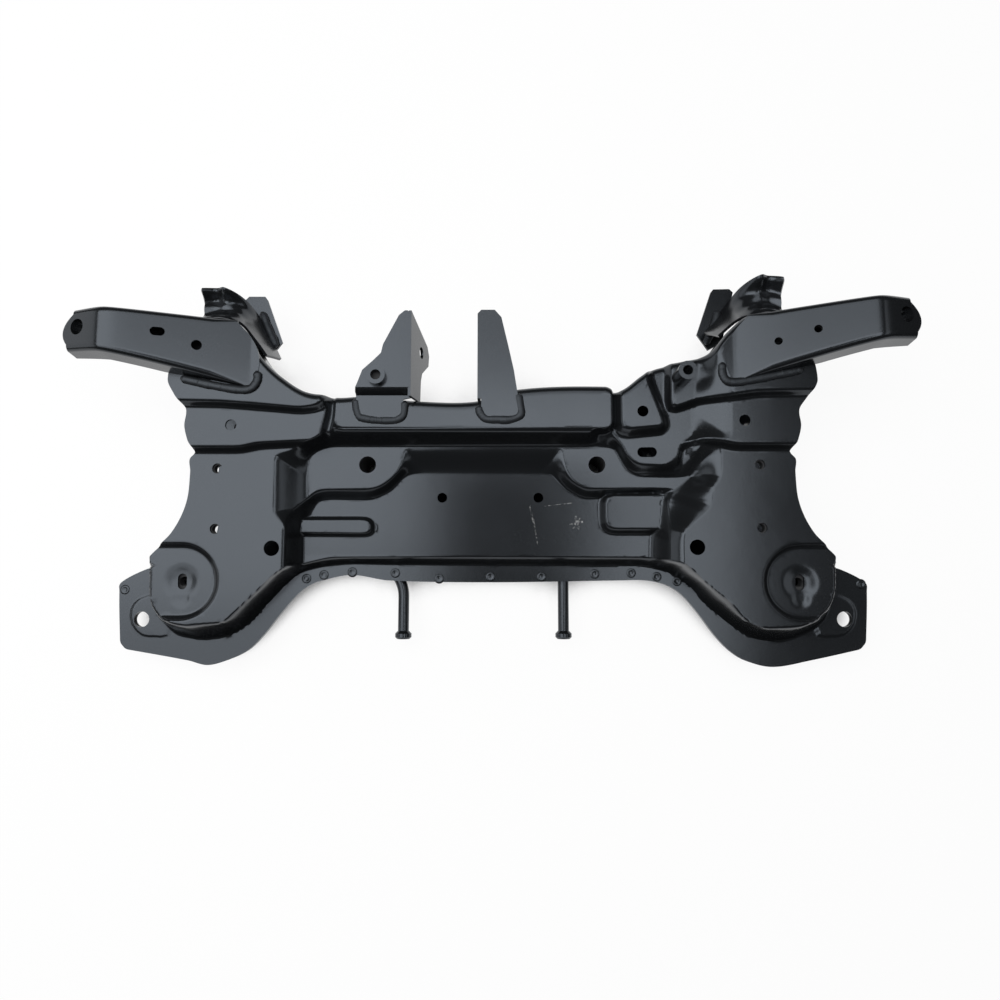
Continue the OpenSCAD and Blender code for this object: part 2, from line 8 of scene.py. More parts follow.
import bmesh
import bpy
import numpy as np
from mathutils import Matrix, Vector


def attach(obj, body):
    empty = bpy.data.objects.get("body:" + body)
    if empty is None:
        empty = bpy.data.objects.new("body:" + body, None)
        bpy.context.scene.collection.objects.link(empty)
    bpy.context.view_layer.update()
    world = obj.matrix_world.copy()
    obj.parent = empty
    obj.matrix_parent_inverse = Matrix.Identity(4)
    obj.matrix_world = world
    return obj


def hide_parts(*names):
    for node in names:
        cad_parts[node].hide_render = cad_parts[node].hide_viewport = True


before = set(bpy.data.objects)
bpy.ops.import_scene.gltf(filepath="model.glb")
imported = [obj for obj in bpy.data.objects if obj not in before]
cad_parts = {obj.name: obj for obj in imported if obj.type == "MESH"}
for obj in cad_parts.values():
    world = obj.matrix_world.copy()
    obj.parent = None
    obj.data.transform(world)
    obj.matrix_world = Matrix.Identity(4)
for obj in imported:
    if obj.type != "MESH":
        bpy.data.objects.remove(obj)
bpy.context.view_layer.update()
LOG = logging.getLogger("subframe")
MM = 0.001
# Degrees above which an edge stays sharp, on most pieces and on the upper shell
EDGE_SHARP = 38.0
SHELL_SHARP = 55.0
# Least upward share of a normal where a sheet is thickened straight down
LEAST_UP = 0.8
# Inputs and output of Blender's colour mix, whose names repeat
MIX_SHARE, MIX_FROM, MIX_TO, MIX_RESULT = 0, 6, 7, 2
Line = tuple[tuple[float, float], ...]
Color = tuple[float, float, float]


class Slot(Enum):
    """Material slots of the record."""

    PAINT = "black_paint"
    STEEL = "bare_steel"


class Side(Enum):
    """Sides of the car, with the sign of X on each."""

    LEFT = -1
    RIGHT = 1


# Curves, distances and steps in millimetres


def ease(t: np.ndarray) -> np.ndarray:
    """Smooth step from 0 to 1."""
    c = np.clip(t, 0.0, 1.0)
    return c * c * (3.0 - 2.0 * c)


def mix(a: np.ndarray, b: np.ndarray, t: np.ndarray) -> np.ndarray:
    """Blend from a to b by t."""
    return a + (b - a) * t


def hermite(a: np.ndarray, b: np.ndarray, slope_a: np.ndarray, slope_b: np.ndarray, t: np.ndarray,
            width: np.ndarray) -> np.ndarray:
    """Cubic between two values.

    Args:
        a: First value.
        b: Second value.
        slope_a: Slope at the first value.
        slope_b: Slope at the second value.
        t: Share of the way from the first to the second.
        width: Distance between them.

    Returns:
        The value at each share.
    """
    t2, t3 = t * t, t * t * t
    ends = a * (2 * t3 - 3 * t2 + 1) + b * (3 * t2 - 2 * t3)
    return ends + width * (slope_a * (t3 - 2 * t2 + t) + slope_b * (t3 - t2))


def curve(points: Line, x: np.ndarray) -> np.ndarray:
    """Smooth curve through points.

    Args:
        points: Stations and values, in rising order of station.
        x: Stations to read.

    Returns:
        The curve's value at each station.
    """
    line = np.asarray(points, float)
    place, value = line[:, 0], line[:, 1]
    count = len(place)
    index = np.arange(count)
    before, after = np.maximum(index - 1, 0), np.minimum(index + 1, count - 1)
    slope = (value[after] - value[before]) / (place[after] - place[before])
    i = np.clip(np.searchsorted(place, x, side="right") - 1, 0, count - 2)
    width = place[i + 1] - place[i]
    t = np.clip((x - place[i]) / width, 0.0, 1.0)
    return hermite(value[i], value[i + 1], slope[i], slope[i + 1], t, width)


def rounded(points: Line, reach: float = 7.0) -> np.ndarray:
    """Closed outline with its corners cut round.

    Args:
        points: Corners of the outline.
        reach: How far a cut may run along the edges at a corner.

    Returns:
        The outline's points, one row each.
    """
    line = np.asarray(points, float)
    cuts = []
    for other in (np.roll(line, 1, axis=0), np.roll(line, -1, axis=0)):
        length = np.linalg.norm(other - line, axis=1, keepdims=True)
        cuts.append(line + (other - line) * np.minimum(0.4, reach / length))
    middle = 0.25 * cuts[0] + 0.5 * line + 0.25 * cuts[1]
    return np.stack([cuts[0], middle, cuts[1]], axis=1).reshape(-1, 2)


def distance_out(p: np.ndarray, line: np.ndarray) -> np.ndarray:
    """Distance from an outline, below zero inside it.

    Args:
        p: Points, the last axis X and Y.
        line: Closed outline.

    Returns:
        Signed distance of each point.
    """
    flat = p.reshape(-1, 2)
    best = np.full(len(flat), 1e9)
    inside = np.zeros(len(flat), bool)
    for a, b in zip(line, np.roll(line, -1, axis=0)):
        ab = b - a
        s = np.clip(((flat - a) @ ab) / max(ab @ ab, 1e-9), 0.0, 1.0)
        best = np.minimum(best, np.linalg.norm(flat - a - s[:, None] * ab, axis=1))
        if a[1] != b[1]:
            crosses = (a[1] > flat[:, 1]) != (b[1] > flat[:, 1])
            inside ^= crosses & (flat[:, 0] < a[0] + (flat[:, 1] - a[1]) * ab[0] / ab[1])
    return np.where(inside, -best, best).reshape(p.shape[:-1])


def raised(p: np.ndarray, points: Line, run: float) -> np.ndarray:
    """Share of an emboss that stands inside an outline and falls off over a run outside it."""
    return ease(1.0 - distance_out(p, rounded(points)) / run)


def drawn(p: np.ndarray, rim: Line, foot: Line) -> np.ndarray:
    """Share of a drawn wall between the outline of its rim and that of its foot.

    Args:
        p: Points, the last axis X and Y.
        rim: Outline of the rim.
        foot: Outline of the foot.

    Returns:
        0 at the rim to 1 at the foot, for each point.
    """
    a = np.maximum(0.0, -distance_out(p, rounded(rim)))
    b = np.maximum(0.0, distance_out(p, rounded(foot)))
    share = a / (a + b + 0.001)
    return 0.5 * share + 0.5 * ease(share)


def round_step(p: np.ndarray, centre: tuple[float, float], radius: float, run: float) -> np.ndarray:
    """Share of a round emboss that falls off over a run outside its radius."""
    return ease(1.0 - (np.linalg.norm(p - np.asarray(centre), axis=-1) - radius) / run)


def quarter(step: int) -> np.ndarray:
    """Angles of a quarter turn, in steps of so many degrees."""
    return np.radians(np.arange(step, 91, step))


# Meshes


def shade(mesh: bpy.types.Mesh, sharp: float) -> None:
    """Shade a mesh smooth, except over edges that bend more than an angle in degrees."""
    mesh.shade_smooth()
    mesh.set_sharp_from_angle(angle=math.radians(sharp))


def new_object(name: str, verts: np.ndarray, faces: list, sharp: float = EDGE_SHARP) -> bpy.types.Object:
    """Object from points in millimetres, shaded smooth except over sharp edges.

    Args:
        name: Name of the piece.
        verts: Points in millimetres.
        faces: Corner numbers of each face.
        sharp: Angle in degrees above which an edge stays sharp.

    Returns:
        The new object, linked to the scene.
    """
    mesh = bpy.data.meshes.new(name)
    mesh.from_pydata([tuple(v) for v in np.asarray(verts, float) * MM], [], faces)
    mesh.validate()
    shade(mesh, sharp)
    obj = bpy.data.objects.new(name, mesh)
    bpy.context.scene.collection.objects.link(obj)
    return obj


def grid_normals(grid: np.ndarray) -> np.ndarray:
    """Unit normals of a grid of points, rows forward and columns to the right.

    Args:
        grid: The points.

    Returns:
        A normal for each point.
    """
    across = np.gradient(grid, axis=1)
    along = np.gradient(grid, axis=0)
    n = np.cross(across, along)
    return n / np.maximum(np.linalg.norm(n, axis=-1, keepdims=True), 1e-9)


def sheet_faces(rows: int, cols: int) -> list:
    """Faces of a closed sheet: an outer grid, an inner grid and the rim between them.

    Args:
        rows: Rows of each grid.
        cols: Columns of each grid.

    Returns:
        Corner numbers of each face.
    """
    n = rows * cols
    r, c = np.meshgrid(np.arange(rows - 1), np.arange(cols - 1), indexing="ij")
    i = (r * cols + c).ravel()
    outer = np.stack([i, i + 1, i + cols + 1, i + cols], axis=1)
    inner = np.stack([n + i, n + i + cols, n + i + cols + 1, n + i + 1], axis=1)
    c = np.arange(cols - 1)
    last = (rows - 1) * cols
    first_rim = np.stack([c + 1, c, n + c, n + c + 1], axis=1)
    last_rim = np.stack([last + c, last + c + 1, n + last + c + 1, n + last + c], axis=1)
    r = np.arange(rows - 1) * cols
    left_rim = np.stack([r, r + cols, n + r + cols, n + r], axis=1)
    e = r + cols - 1
    right_rim = np.stack([e + cols, e, n + e, n + e + cols], axis=1)
    return np.concatenate([outer, inner, first_rim, last_rim, left_rim, right_rim]).tolist()


def under_side(grid: np.ndarray, normals: np.ndarray, thickness: float, flat_rows: int) -> np.ndarray:
    """Hidden surface of a sheet, kept above the ground.

    Args:
        grid: Points of the seen surface.
        normals: Unit normals at these points.
        thickness: Thickness of the sheet.
        flat_rows: How many of the first rows are thickened straight down.

    Returns:
        A point behind each point of the grid.
    """
    offset = -thickness * normals
    offset[:flat_rows] = 0.0
    offset[:flat_rows, :, 2] = -thickness / np.maximum(LEAST_UP, normals[:flat_rows, :, 2])
    inner = grid + offset
    inner[..., 2] = np.maximum(inner[..., 2], 0.0)
    return inner


def sheet_object(name: str, grid: np.ndarray, thickness: float, flat_rows: int = 0) -> bpy.types.Object:
    """Pressed sheet from a grid of surface points.

    Args:
        name: Name of the piece.
        grid: Points of the seen surface in millimetres, rows by columns.
        thickness: Thickness of the sheet.
        flat_rows: How many of the first rows are thickened straight down.

    Returns:
        The sheet as an object.
    """
    inner = under_side(grid, grid_normals(grid), thickness, flat_rows)
    rows, cols = grid.shape[:2]
    verts = np.concatenate([grid.reshape(-1, 3), inner.reshape(-1, 3)])
    return new_object(name, verts, sheet_faces(rows, cols))


def run_of(ids: np.ndarray, whole: bool) -> list[int]:
    """Points along one side of a cell: all of them, or only its two ends."""
    return ids.tolist() if whole else [int(ids[0]), int(ids[-1])]


def bent_cells(grid: np.ndarray, k: int, most: int) -> np.ndarray:
    """Cells of k by k points that bend most.

    Args:
        grid: Fine grid of points.
        k: Points along the side of a cell.
        most: How many cells may be picked.

    Returns:
        A mask of the cells, rows by columns.
    """
    rows, cols = (grid.shape[0] - 1) // k, (grid.shape[1] - 1) // k

    def at(i: int, j: int) -> np.ndarray:
        """Point i, j of every cell."""
        return grid[i:i + (rows - 1) * k + 1:k, j:j + (cols - 1) * k + 1:k]

    bend = np.zeros((rows, cols))
    for i in range(k + 1):
        for j in range(k + 1):
            a, b = i / k, j / k
            flat = mix(mix(at(0, 0), at(0, k), b), mix(at(k, 0), at(k, k), b), a)
            bend = np.maximum(bend, np.linalg.norm(at(i, j) - flat, axis=-1))
    limit = max(0.015, np.sort(bend.ravel())[::-1][min(most, bend.size - 1)])
    return bend > limit


def fine_sheet(name: str, grid: np.ndarray, k: int, thickness: float, flat_rows: int,
               most: int) -> bpy.types.Object:
    """Pressed sheet with full detail where it bends and wide faces where it is flat.

    Args:
        name: Name of the piece.
        grid: Fine grid of the seen surface, a multiple of k plus one each way.
        k: How many fine steps make one wide face.
        thickness: Thickness of the sheet.
        flat_rows: How many of the first wide rows are thickened straight down.
        most: How many cells may have full detail.

    Returns:
        The sheet as an object.
    """
    fine = bent_cells(grid, k, most)
    rows, cols = fine.shape
    count = grid.shape[0] * grid.shape[1]
    ids = np.arange(count).reshape(grid.shape[:2])
    inner_ids = count + np.arange((rows + 1) * (cols + 1)).reshape(rows + 1, cols + 1)
    inner = under_side(grid[::k, ::k], grid_normals(grid)[::k, ::k], thickness, flat_rows)
    faces = []
    r, c = np.nonzero(fine)
    for i in range(k):
        for j in range(k):
            y, x = r * k + i, c * k + j
            faces += np.stack([ids[y, x], ids[y, x + 1], ids[y + 1, x + 1], ids[y + 1, x]], axis=1).tolist()
    edge = np.pad(fine, 1)
    for r, c in zip(*np.nonzero(~fine)):
        y, x = slice(r * k, r * k + k + 1), slice(c * k, c * k + k + 1)
        sides = (run_of(ids[r * k, x], edge[r, c + 1]),
                 run_of(ids[y, c * k + k], edge[r + 1, c + 2]),
                 run_of(ids[r * k + k, x], edge[r + 2, c + 1])[::-1],
                 run_of(ids[y, c * k], edge[r + 1, c])[::-1])
        faces.append([v for side in sides for v in side[:-1]])
    a, b = inner_ids[:-1, :-1], inner_ids[1:, :-1]
    d, e = inner_ids[1:, 1:], inner_ids[:-1, 1:]
    faces += np.stack([a, b, d, e], axis=-1).reshape(-1, 4).tolist()
    for c in range(cols):
        x = slice(c * k, c * k + k + 1)
        faces.append(run_of(ids[0, x], fine[0, c])[::-1] + inner_ids[0, c:c + 2].tolist())
        faces.append(run_of(ids[-1, x], fine[-1, c]) + inner_ids[-1, c:c + 2][::-1].tolist())
    for r in range(rows):
        y = slice(r * k, r * k + k + 1)
        faces.append(run_of(ids[y, 0], fine[r, 0]) + inner_ids[r:r + 2, 0][::-1].tolist())
        faces.append(run_of(ids[y, -1], fine[r, -1])[::-1] + inner_ids[r:r + 2, -1].tolist())
    used, flat = np.unique(np.concatenate([np.asarray(f) for f in faces]), return_inverse=True)
    ends = np.cumsum([len(f) for f in faces])
    faces = [part.tolist() for part in np.split(flat, ends[:-1])]
    verts = np.concatenate([grid.reshape(-1, 3), inner.reshape(-1, 3)])[used]
    return new_object(name, verts, faces, SHELL_SHARP)


@dataclass(frozen=True)
class Drill:
    """One round or slotted hole.

    Args:
        place: Centre in millimetres.
        radius: Radius of the hole or of the slot's ends.
        half: Half the distance between the slot's round ends.
        turn: Direction of the slot in degrees.
        axis: Direction of the hole.
        reach: Length of the tool to each side of its centre.
    """

    place: tuple[float, float, float]
    radius: float
    half: float = 0.0
    turn: float = 0.0
    axis: tuple[float, float, float] = (0.0, 0.0, 1.0)
    reach: float = 110.0


def drill(obj: bpy.types.Object, tools: list[Drill], sharp: float = EDGE_SHARP) -> None:
    """Cut holes into a sheet.

    Args:
        obj: The sheet.
        tools: The holes.
        sharp: Angle in degrees above which an edge stays sharp.
    """
    bm = bmesh.new()
    for tool in tools:
        ring = []
        steps = 40
        for k in range(steps):
            a = 2 * math.pi * k / steps
            shift = tool.half if math.cos(a) >= 0 else -tool.half
            ring.append((shift + tool.radius * math.cos(a), tool.radius * math.sin(a)))
        axis = Vector(tool.axis).normalized()
        side = Vector((0.0, 1.0, 0.0)).cross(axis).normalized()
        up = axis.cross(side)
        co, si = math.cos(math.radians(tool.turn)), math.sin(math.radians(tool.turn))
        levels = []
        for z in (-tool.reach, tool.reach):
            level = []
            for x, y in ring:
                local = side * (x * co - y * si) + up * (x * si + y * co) + axis * z
                level.append(bm.verts.new([(c + v) * MM for c, v in zip(tool.place, local)]))
            levels.append(level)
        bm.faces.new(levels[0][::-1])
        bm.faces.new(levels[1])
        for k in range(steps):
            j = (k + 1) % steps
            bm.faces.new((levels[0][k], levels[0][j], levels[1][j], levels[1][k]))
    mesh = bpy.data.meshes.new("drill")
    bm.to_mesh(mesh)
    bm.free()
    cutter = bpy.data.objects.new("drill", mesh)
    bpy.context.scene.collection.objects.link(cutter)
    cut = obj.modifiers.new("holes", "BOOLEAN")
    cut.operation = "DIFFERENCE"
    cut.solver = "MANIFOLD"
    cut.object = cutter
    shaped = obj.evaluated_get(bpy.context.evaluated_depsgraph_get())
    done = bpy.data.meshes.new_from_object(shaped)
    done.name = obj.name
    obj.modifiers.clear()
    old = obj.data
    obj.data = done
    bpy.data.meshes.remove(old)
    bpy.data.objects.remove(cutter)
    bpy.data.meshes.remove(mesh)
    shade(done, sharp)


# Finishes


class Nodes:
    """Small helper around a node tree."""

    def __init__(self, tree: bpy.types.NodeTree) -> None:
        """Keep the tree."""
        self.tree = tree

    def add(self, kind: str, **settings: object) -> bpy.types.Node:
        """New node of a kind, with its settings.

        Args:
            kind: Blender's name of the kind.
            settings: Its settings by name.

        Returns:
            The node.
        """
        node = self.tree.nodes.new(kind)
        for key, value in settings.items():
            setattr(node, key, value)
        return node

    def link(self, out: bpy.types.NodeSocket, into: bpy.types.NodeSocket) -> None:
        """Join two sockets."""
        self.tree.links.new(out, into)

    def put(self, value: object, socket: bpy.types.NodeSocket) -> None:
        """Feed an input.

        Args:
            value: A socket to link, a value to set, or None to leave the input as it is.
            socket: The input.
        """
        if isinstance(value, bpy.types.NodeSocket):
            self.link(value, socket)
        elif value is not None:
            socket.default_value = value

    def math(self, operation: str, a: object, b: object = None, clamp: bool = False) -> bpy.types.NodeSocket:
        """Math node on two values or sockets.

        Args:
            operation: Blender's name of the operation.
            a: First value or socket.
            b: Second value or socket.
            clamp: Whether the result is kept between 0 and 1.

        Returns:
            The result's socket.
        """
        node = self.add("ShaderNodeMath", operation=operation, use_clamp=clamp)
        for socket, value in zip(node.inputs, (a, b)):
            self.put(value, socket)
        return node.outputs[0]

    def vector(self, operation: str, a: object, b: object = None, out: int = 0) -> bpy.types.NodeSocket:
        """Vector math node on two sockets or vectors; out picks its output.

        Args:
            operation: Blender's name of the operation.
            a: First vector or socket.
            b: Second vector or socket.
            out: Number of the output.

        Returns:
            The result's socket.
        """
        node = self.add("ShaderNodeVectorMath", operation=operation)
        for socket, value in zip(node.inputs, (a, b)):
            self.put(value, socket)
        return node.outputs[out]

    def blend(self, share: bpy.types.NodeSocket, a: object, b: object) -> bpy.types.NodeSocket:
        """Blend of two colours.

        Args:
            share: Share of the second colour.
            a: First colour, a value or a socket.
            b: Second colour, a value or a socket.

        Returns:
            The blended colour's socket.
        """
        node = self.add("ShaderNodeMix", data_type="RGBA")
        self.link(share, node.inputs[MIX_SHARE])
        self.put(a, node.inputs[MIX_FROM])
        self.put(b, node.inputs[MIX_TO])
        return node.outputs[MIX_RESULT]

    def noise(self, place: bpy.types.NodeSocket, scale: float, detail: float = 3.0) -> bpy.types.NodeSocket:
        """Noise value at a place.

        Args:
            place: Socket of the place.
            scale: Waves in a metre.
            detail: Finer layers on top.

        Returns:
            The noise's socket, from 0 to 1.
        """
        node = self.add("ShaderNodeTexNoise")
        node.inputs["Scale"].default_value = scale
        node.inputs["Detail"].default_value = detail
        self.link(place, node.inputs["Vector"])
        return node.outputs["Fac"]

    def ramp(self, value: bpy.types.NodeSocket, low: float, high: float) -> bpy.types.NodeSocket:
        """Value mapped so that low becomes 0 and high becomes 1, kept between them.

        Args:
            value: Socket of the value.
            low: Value that becomes 0.
            high: Value that becomes 1.

        Returns:
            The result's socket.
        """
        node = self.add("ShaderNodeMapRange", clamp=True)
        self.link(value, node.inputs["Value"])
        node.inputs["From Min"].default_value = low
        node.inputs["From Max"].default_value = high
        return node.outputs["Result"]


def new_group(name: str, inputs: dict[str, str], outputs: dict[str, str]) -> bpy.types.NodeTree:
    """Shader node group with named sockets.

    Args:
        name: Name of the group.
        inputs: Input names with their socket types.
        outputs: Output names with their socket types.

    Returns:
        The group's tree, with its input and output nodes in place.
    """
    tree = bpy.data.node_groups.new(name, "ShaderNodeTree")
    for label, kind in inputs.items():
        tree.interface.new_socket(name=label, in_out="INPUT", socket_type=kind)
    for label, kind in outputs.items():
        tree.interface.new_socket(name=label, in_out="OUTPUT", socket_type=kind)
    tree.nodes.new("NodeGroupInput")
    tree.nodes.new("NodeGroupOutput")
    return tree


def film_group() -> bpy.types.NodeTree:
    """Group for the paint film: cloudy gloss, fine dust and the ripple of the dip coat.

    Returns:
        The group's tree.
    """
    name = "paint_film"
    if name in bpy.data.node_groups:
        return bpy.data.node_groups[name]
    tree = new_group(name, {"Haze": "NodeSocketFloat", "Dust": "NodeSocketFloat"},
                     {"Gloss": "NodeSocketFloat", "Speck": "NodeSocketFloat", "Ripple": "NodeSocketFloat"})
    k = Nodes(tree)
    given, result = tree.nodes["Group Input"], tree.nodes["Group Output"]
    place = k.add("ShaderNodeTexCoord").outputs["Object"]
    cloud = k.noise(place, 14.0, 4.0)
    fine = k.noise(place, 260.0, 2.0)
    gloss = k.math("ADD", k.math("MULTIPLY", cloud, 0.8), k.math("MULTIPLY", fine, 0.2))
    k.link(k.math("MULTIPLY", gloss, given.outputs["Haze"]), result.inputs["Gloss"])
    grain = k.ramp(k.noise(place, 900.0, 2.0), 0.6, 0.74)
    patch = k.ramp(k.noise(place, 9.0, 3.0), 0.5, 0.72)
    speck = k.math("MULTIPLY", grain, patch)
    k.link(k.math("MULTIPLY", speck, given.outputs["Dust"]), result.inputs["Speck"])
    peel = k.noise(place, 420.0, 1.0)
    wave = k.noise(place, 46.0, 2.0)
    k.link(k.math("ADD", k.math("MULTIPLY", peel, 0.35), wave), result.inputs["Ripple"])
    return tree


def mark_group() -> bpy.types.NodeTree:
    """Group for one straight scratch between two points, with a width.

    Returns:
        The group's tree.
    """
    name = "scratch_line"
    if name in bpy.data.node_groups:
        return bpy.data.node_groups[name]
    inputs = {"Start": "NodeSocketVector", "End": "NodeSocketVector", "Width": "NodeSocketFloat"}
    tree = new_group(name, inputs, {"Mark": "NodeSocketFloat"})
    k = Nodes(tree)
    given, result = tree.nodes["Group Input"], tree.nodes["Group Output"]
    place = k.add("ShaderNodeTexCoord").outputs["Object"]
    start, width = given.outputs["Start"], given.outputs["Width"]
    along = k.vector("MULTIPLY", k.vector("SUBTRACT", given.outputs["End"], start), (1.0, 1.0, 0.0))
    away = k.vector("MULTIPLY", k.vector("SUBTRACT", place, start), (1.0, 1.0, 0.0))
    reached, length = k.vector("DOT_PRODUCT", away, along, 1), k.vector("DOT_PRODUCT", along, along, 1)
    share = k.math("DIVIDE", reached, length, True)
    scaled = k.add("ShaderNodeVectorMath", operation="SCALE")
    k.link(along, scaled.inputs[0])
    k.link(share, scaled.inputs["Scale"])
    gap = k.vector("DISTANCE", away, scaled.outputs[0], 1)
    broken = k.ramp(k.noise(place, 420.0, 4.0), 0.44, 0.72)
    near = k.math("SUBTRACT", 1.0, k.math("DIVIDE", gap, width), True)
    k.link(k.math("MULTIPLY", k.math("MULTIPLY", near, 2.2, True), broken), result.inputs["Mark"])
    return tree


def new_material(name: str) -> tuple[bpy.types.Material, Nodes, bpy.types.Node]:
    """New material with nodes.

    Args:
        name: Name of the material.

    Returns:
        The material, a helper around its nodes and its main shader.
    """
    material = bpy.data.materials.new(name)
    material.use_nodes = True
    return material, Nodes(material.node_tree), material.node_tree.nodes["Principled BSDF"]


def coat(k: Nodes, haze: float, dust: float, clean: Color, dusty: Color) -> tuple:
    """Paint film with dust on it.

    Args:
        k: Helper around the material's nodes.
        haze: How much the roughness clouds over.
        dust: Share of dust.
        clean: Colour of the clean film.
        dusty: Colour of the dust.

    Returns:
        The film's node and the socket of its colour.
    """
    film = k.add("ShaderNodeGroup", node_tree=film_group())
    film.inputs["Haze"].default_value = haze
    film.inputs["Dust"].default_value = dust
    return film, k.blend(film.outputs["Speck"], (*clean, 1), (*dusty, 1))


@dataclass(frozen=True)
class Scratch:
    """A scratch on the paint, from one point to another in millimetres, and its width."""

    start: tuple[float, float, float]
    end: tuple[float, float, float]
    width: float


@dataclass(frozen=True)
class PaintFinish:
    """Semi-gloss black dip coat.

    Args:
        name: Name of the material.
        color: Colour of the clean film.
        dusty: Colour of the dust that lies on it.
        roughness: Lowest roughness.
        haze: How much the roughness clouds over.
        dust: Share of dust.
        ripple: Height of the film's ripple in metres.
        ripple_share: How strongly the ripple shows.
        sheen: Tint of what the film reflects.
        primer: Colour at the bottom of a scratch.
        scratches: Scratches down to the primer.
    """

    name: str
    color: Color = (0.0078, 0.0084, 0.0092)
    dusty: Color = (0.09, 0.09, 0.088)
    roughness: float = 0.15
    haze: float = 0.1
    dust: float = 0.22
    ripple: float = 0.00012
    ripple_share: float = 0.5
    sheen: Color = (0.8, 0.89, 1.0)
    primer: Color = (0.34, 0.34, 0.33)
    scratches: tuple[Scratch, ...] = ()

    def material(self) -> bpy.types.Material:
        """Build the material with its nodes.

        Returns:
            The material.
        """
        material, k, shader = new_material(self.name)
        film, color = coat(k, self.haze, self.dust, self.color, self.dusty)
        for scratch in self.scratches:
            mark = k.add("ShaderNodeGroup", node_tree=mark_group())
            mark.inputs["Start"].default_value = [v * MM for v in scratch.start]
            mark.inputs["End"].default_value = [v * MM for v in scratch.end]
            mark.inputs["Width"].default_value = scratch.width * MM
            color = k.blend(mark.outputs["Mark"], color, (*self.primer, 1))
        shader.inputs["Specular Tint"].default_value = (*self.sheen, 1)
        k.link(color, shader.inputs["Base Color"])
        k.link(k.math("ADD", film.outputs["Gloss"], self.roughness), shader.inputs["Roughness"])
        bump = k.add("ShaderNodeBump")
        bump.inputs["Strength"].default_value = self.ripple_share
        bump.inputs["Distance"].default_value = self.ripple
        k.link(film.outputs["Ripple"], bump.inputs["Height"])
        k.link(bump.outputs["Normal"], shader.inputs["Normal"])
        return material


@dataclass(frozen=True)
class SteelFinish:
    """Thinly coated steel of nuts and sleeves."""

    name: str
    color: Color = (0.05, 0.051, 0.053)
    dusty: Color = (0.05, 0.048, 0.045)
    roughness: float = 0.5
    haze: float = 0.25
    dust: float = 0.5
    metal: float = 0.3
    gloss: float = 0.15

    def material(self) -> bpy.types.Material:
        """Build the material with its nodes.

        Returns:
            The material.
        """
        material, k, shader = new_material(self.name)
        film, color = coat(k, self.haze, self.dust, self.color, self.dusty)
        k.link(color, shader.inputs["Base Color"])
        k.link(k.math("ADD", film.outputs["Gloss"], self.roughness), shader.inputs["Roughness"])
        shader.inputs["Metallic"].default_value = self.metal
        shader.inputs["Specular IOR Level"].default_value = self.gloss
        return material


@dataclass(frozen=True)
class FloorFinish:
    """White studio floor whose white glow is dimmed by an occlusion test close to the part, a painted shade
    under and beside it.

    Args:
        name: Name of the material.
        glow: Share of plain white in what is seen.
        shade_reach: How far the part shades the floor.
        shade_ends: Openness at which the floor is fully shaded and fully lit.
    """

    name: str = "studio_floor"
    glow: float = 0.93
    shade_reach: float = 120.0
    shade_ends: tuple[float, float] = (0.34, 0.56)

    def material(self) -> bpy.types.Material:
        """Build the material with its nodes.

        Returns:
            The material.
        """
        material, k, shader = new_material(self.name)
        shader.inputs["Base Color"].default_value = (0.9, 0.9, 0.9, 1)
        shader.inputs["Roughness"].default_value = 0.9
        shader.inputs["Specular IOR Level"].default_value = 0.0
        light = k.add("ShaderNodeEmission")
        light.inputs["Strength"].default_value = 1.0
        path = k.add("ShaderNodeLightPath")
        seen = k.math("ADD", path.outputs["Is Camera Ray"], path.outputs["Is Glossy Ray"], True)
        seen = k.math("ADD", seen, path.outputs["Is Transmission Ray"], True)
        # Painted shade: the white glow fades where the occlusion test finds the part close above the floor
        cover = k.add("ShaderNodeAmbientOcclusion", samples=16)
        cover.inputs["Distance"].default_value = self.shade_reach * MM
        open_sky = k.ramp(cover.outputs["AO"], *self.shade_ends)
        seen = k.math("MULTIPLY", seen, open_sky)
        blend = k.add("ShaderNodeMixShader")
        k.link(k.math("MULTIPLY", seen, self.glow), blend.inputs[0])
        k.link(shader.outputs[0], blend.inputs[1])
        k.link(light.outputs[0], blend.inputs[2])
        k.link(blend.outputs[0], material.node_tree.nodes["Material Output"].inputs["Surface"])
        return material


def dress(obj: bpy.types.Object, material: bpy.types.Material, slot: Slot, *nodes: str) -> bpy.types.Object:
    """Give a piece its material, its body and the nodes it stands for.

    Args:
        obj: The piece.
        material: Its material.
        slot: Its material slot in the record; not used.
        nodes: Names of the solids that it replaces.

    Returns:
        The piece.
    """
    obj.data.materials.clear()
    obj.data.materials.append(material)
    if nodes:
        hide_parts(*nodes)
    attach(obj, "root")
    LOG.info("%s: %d faces", obj.name, len(obj.data.polygons))
    return obj


# Sub-assemblies


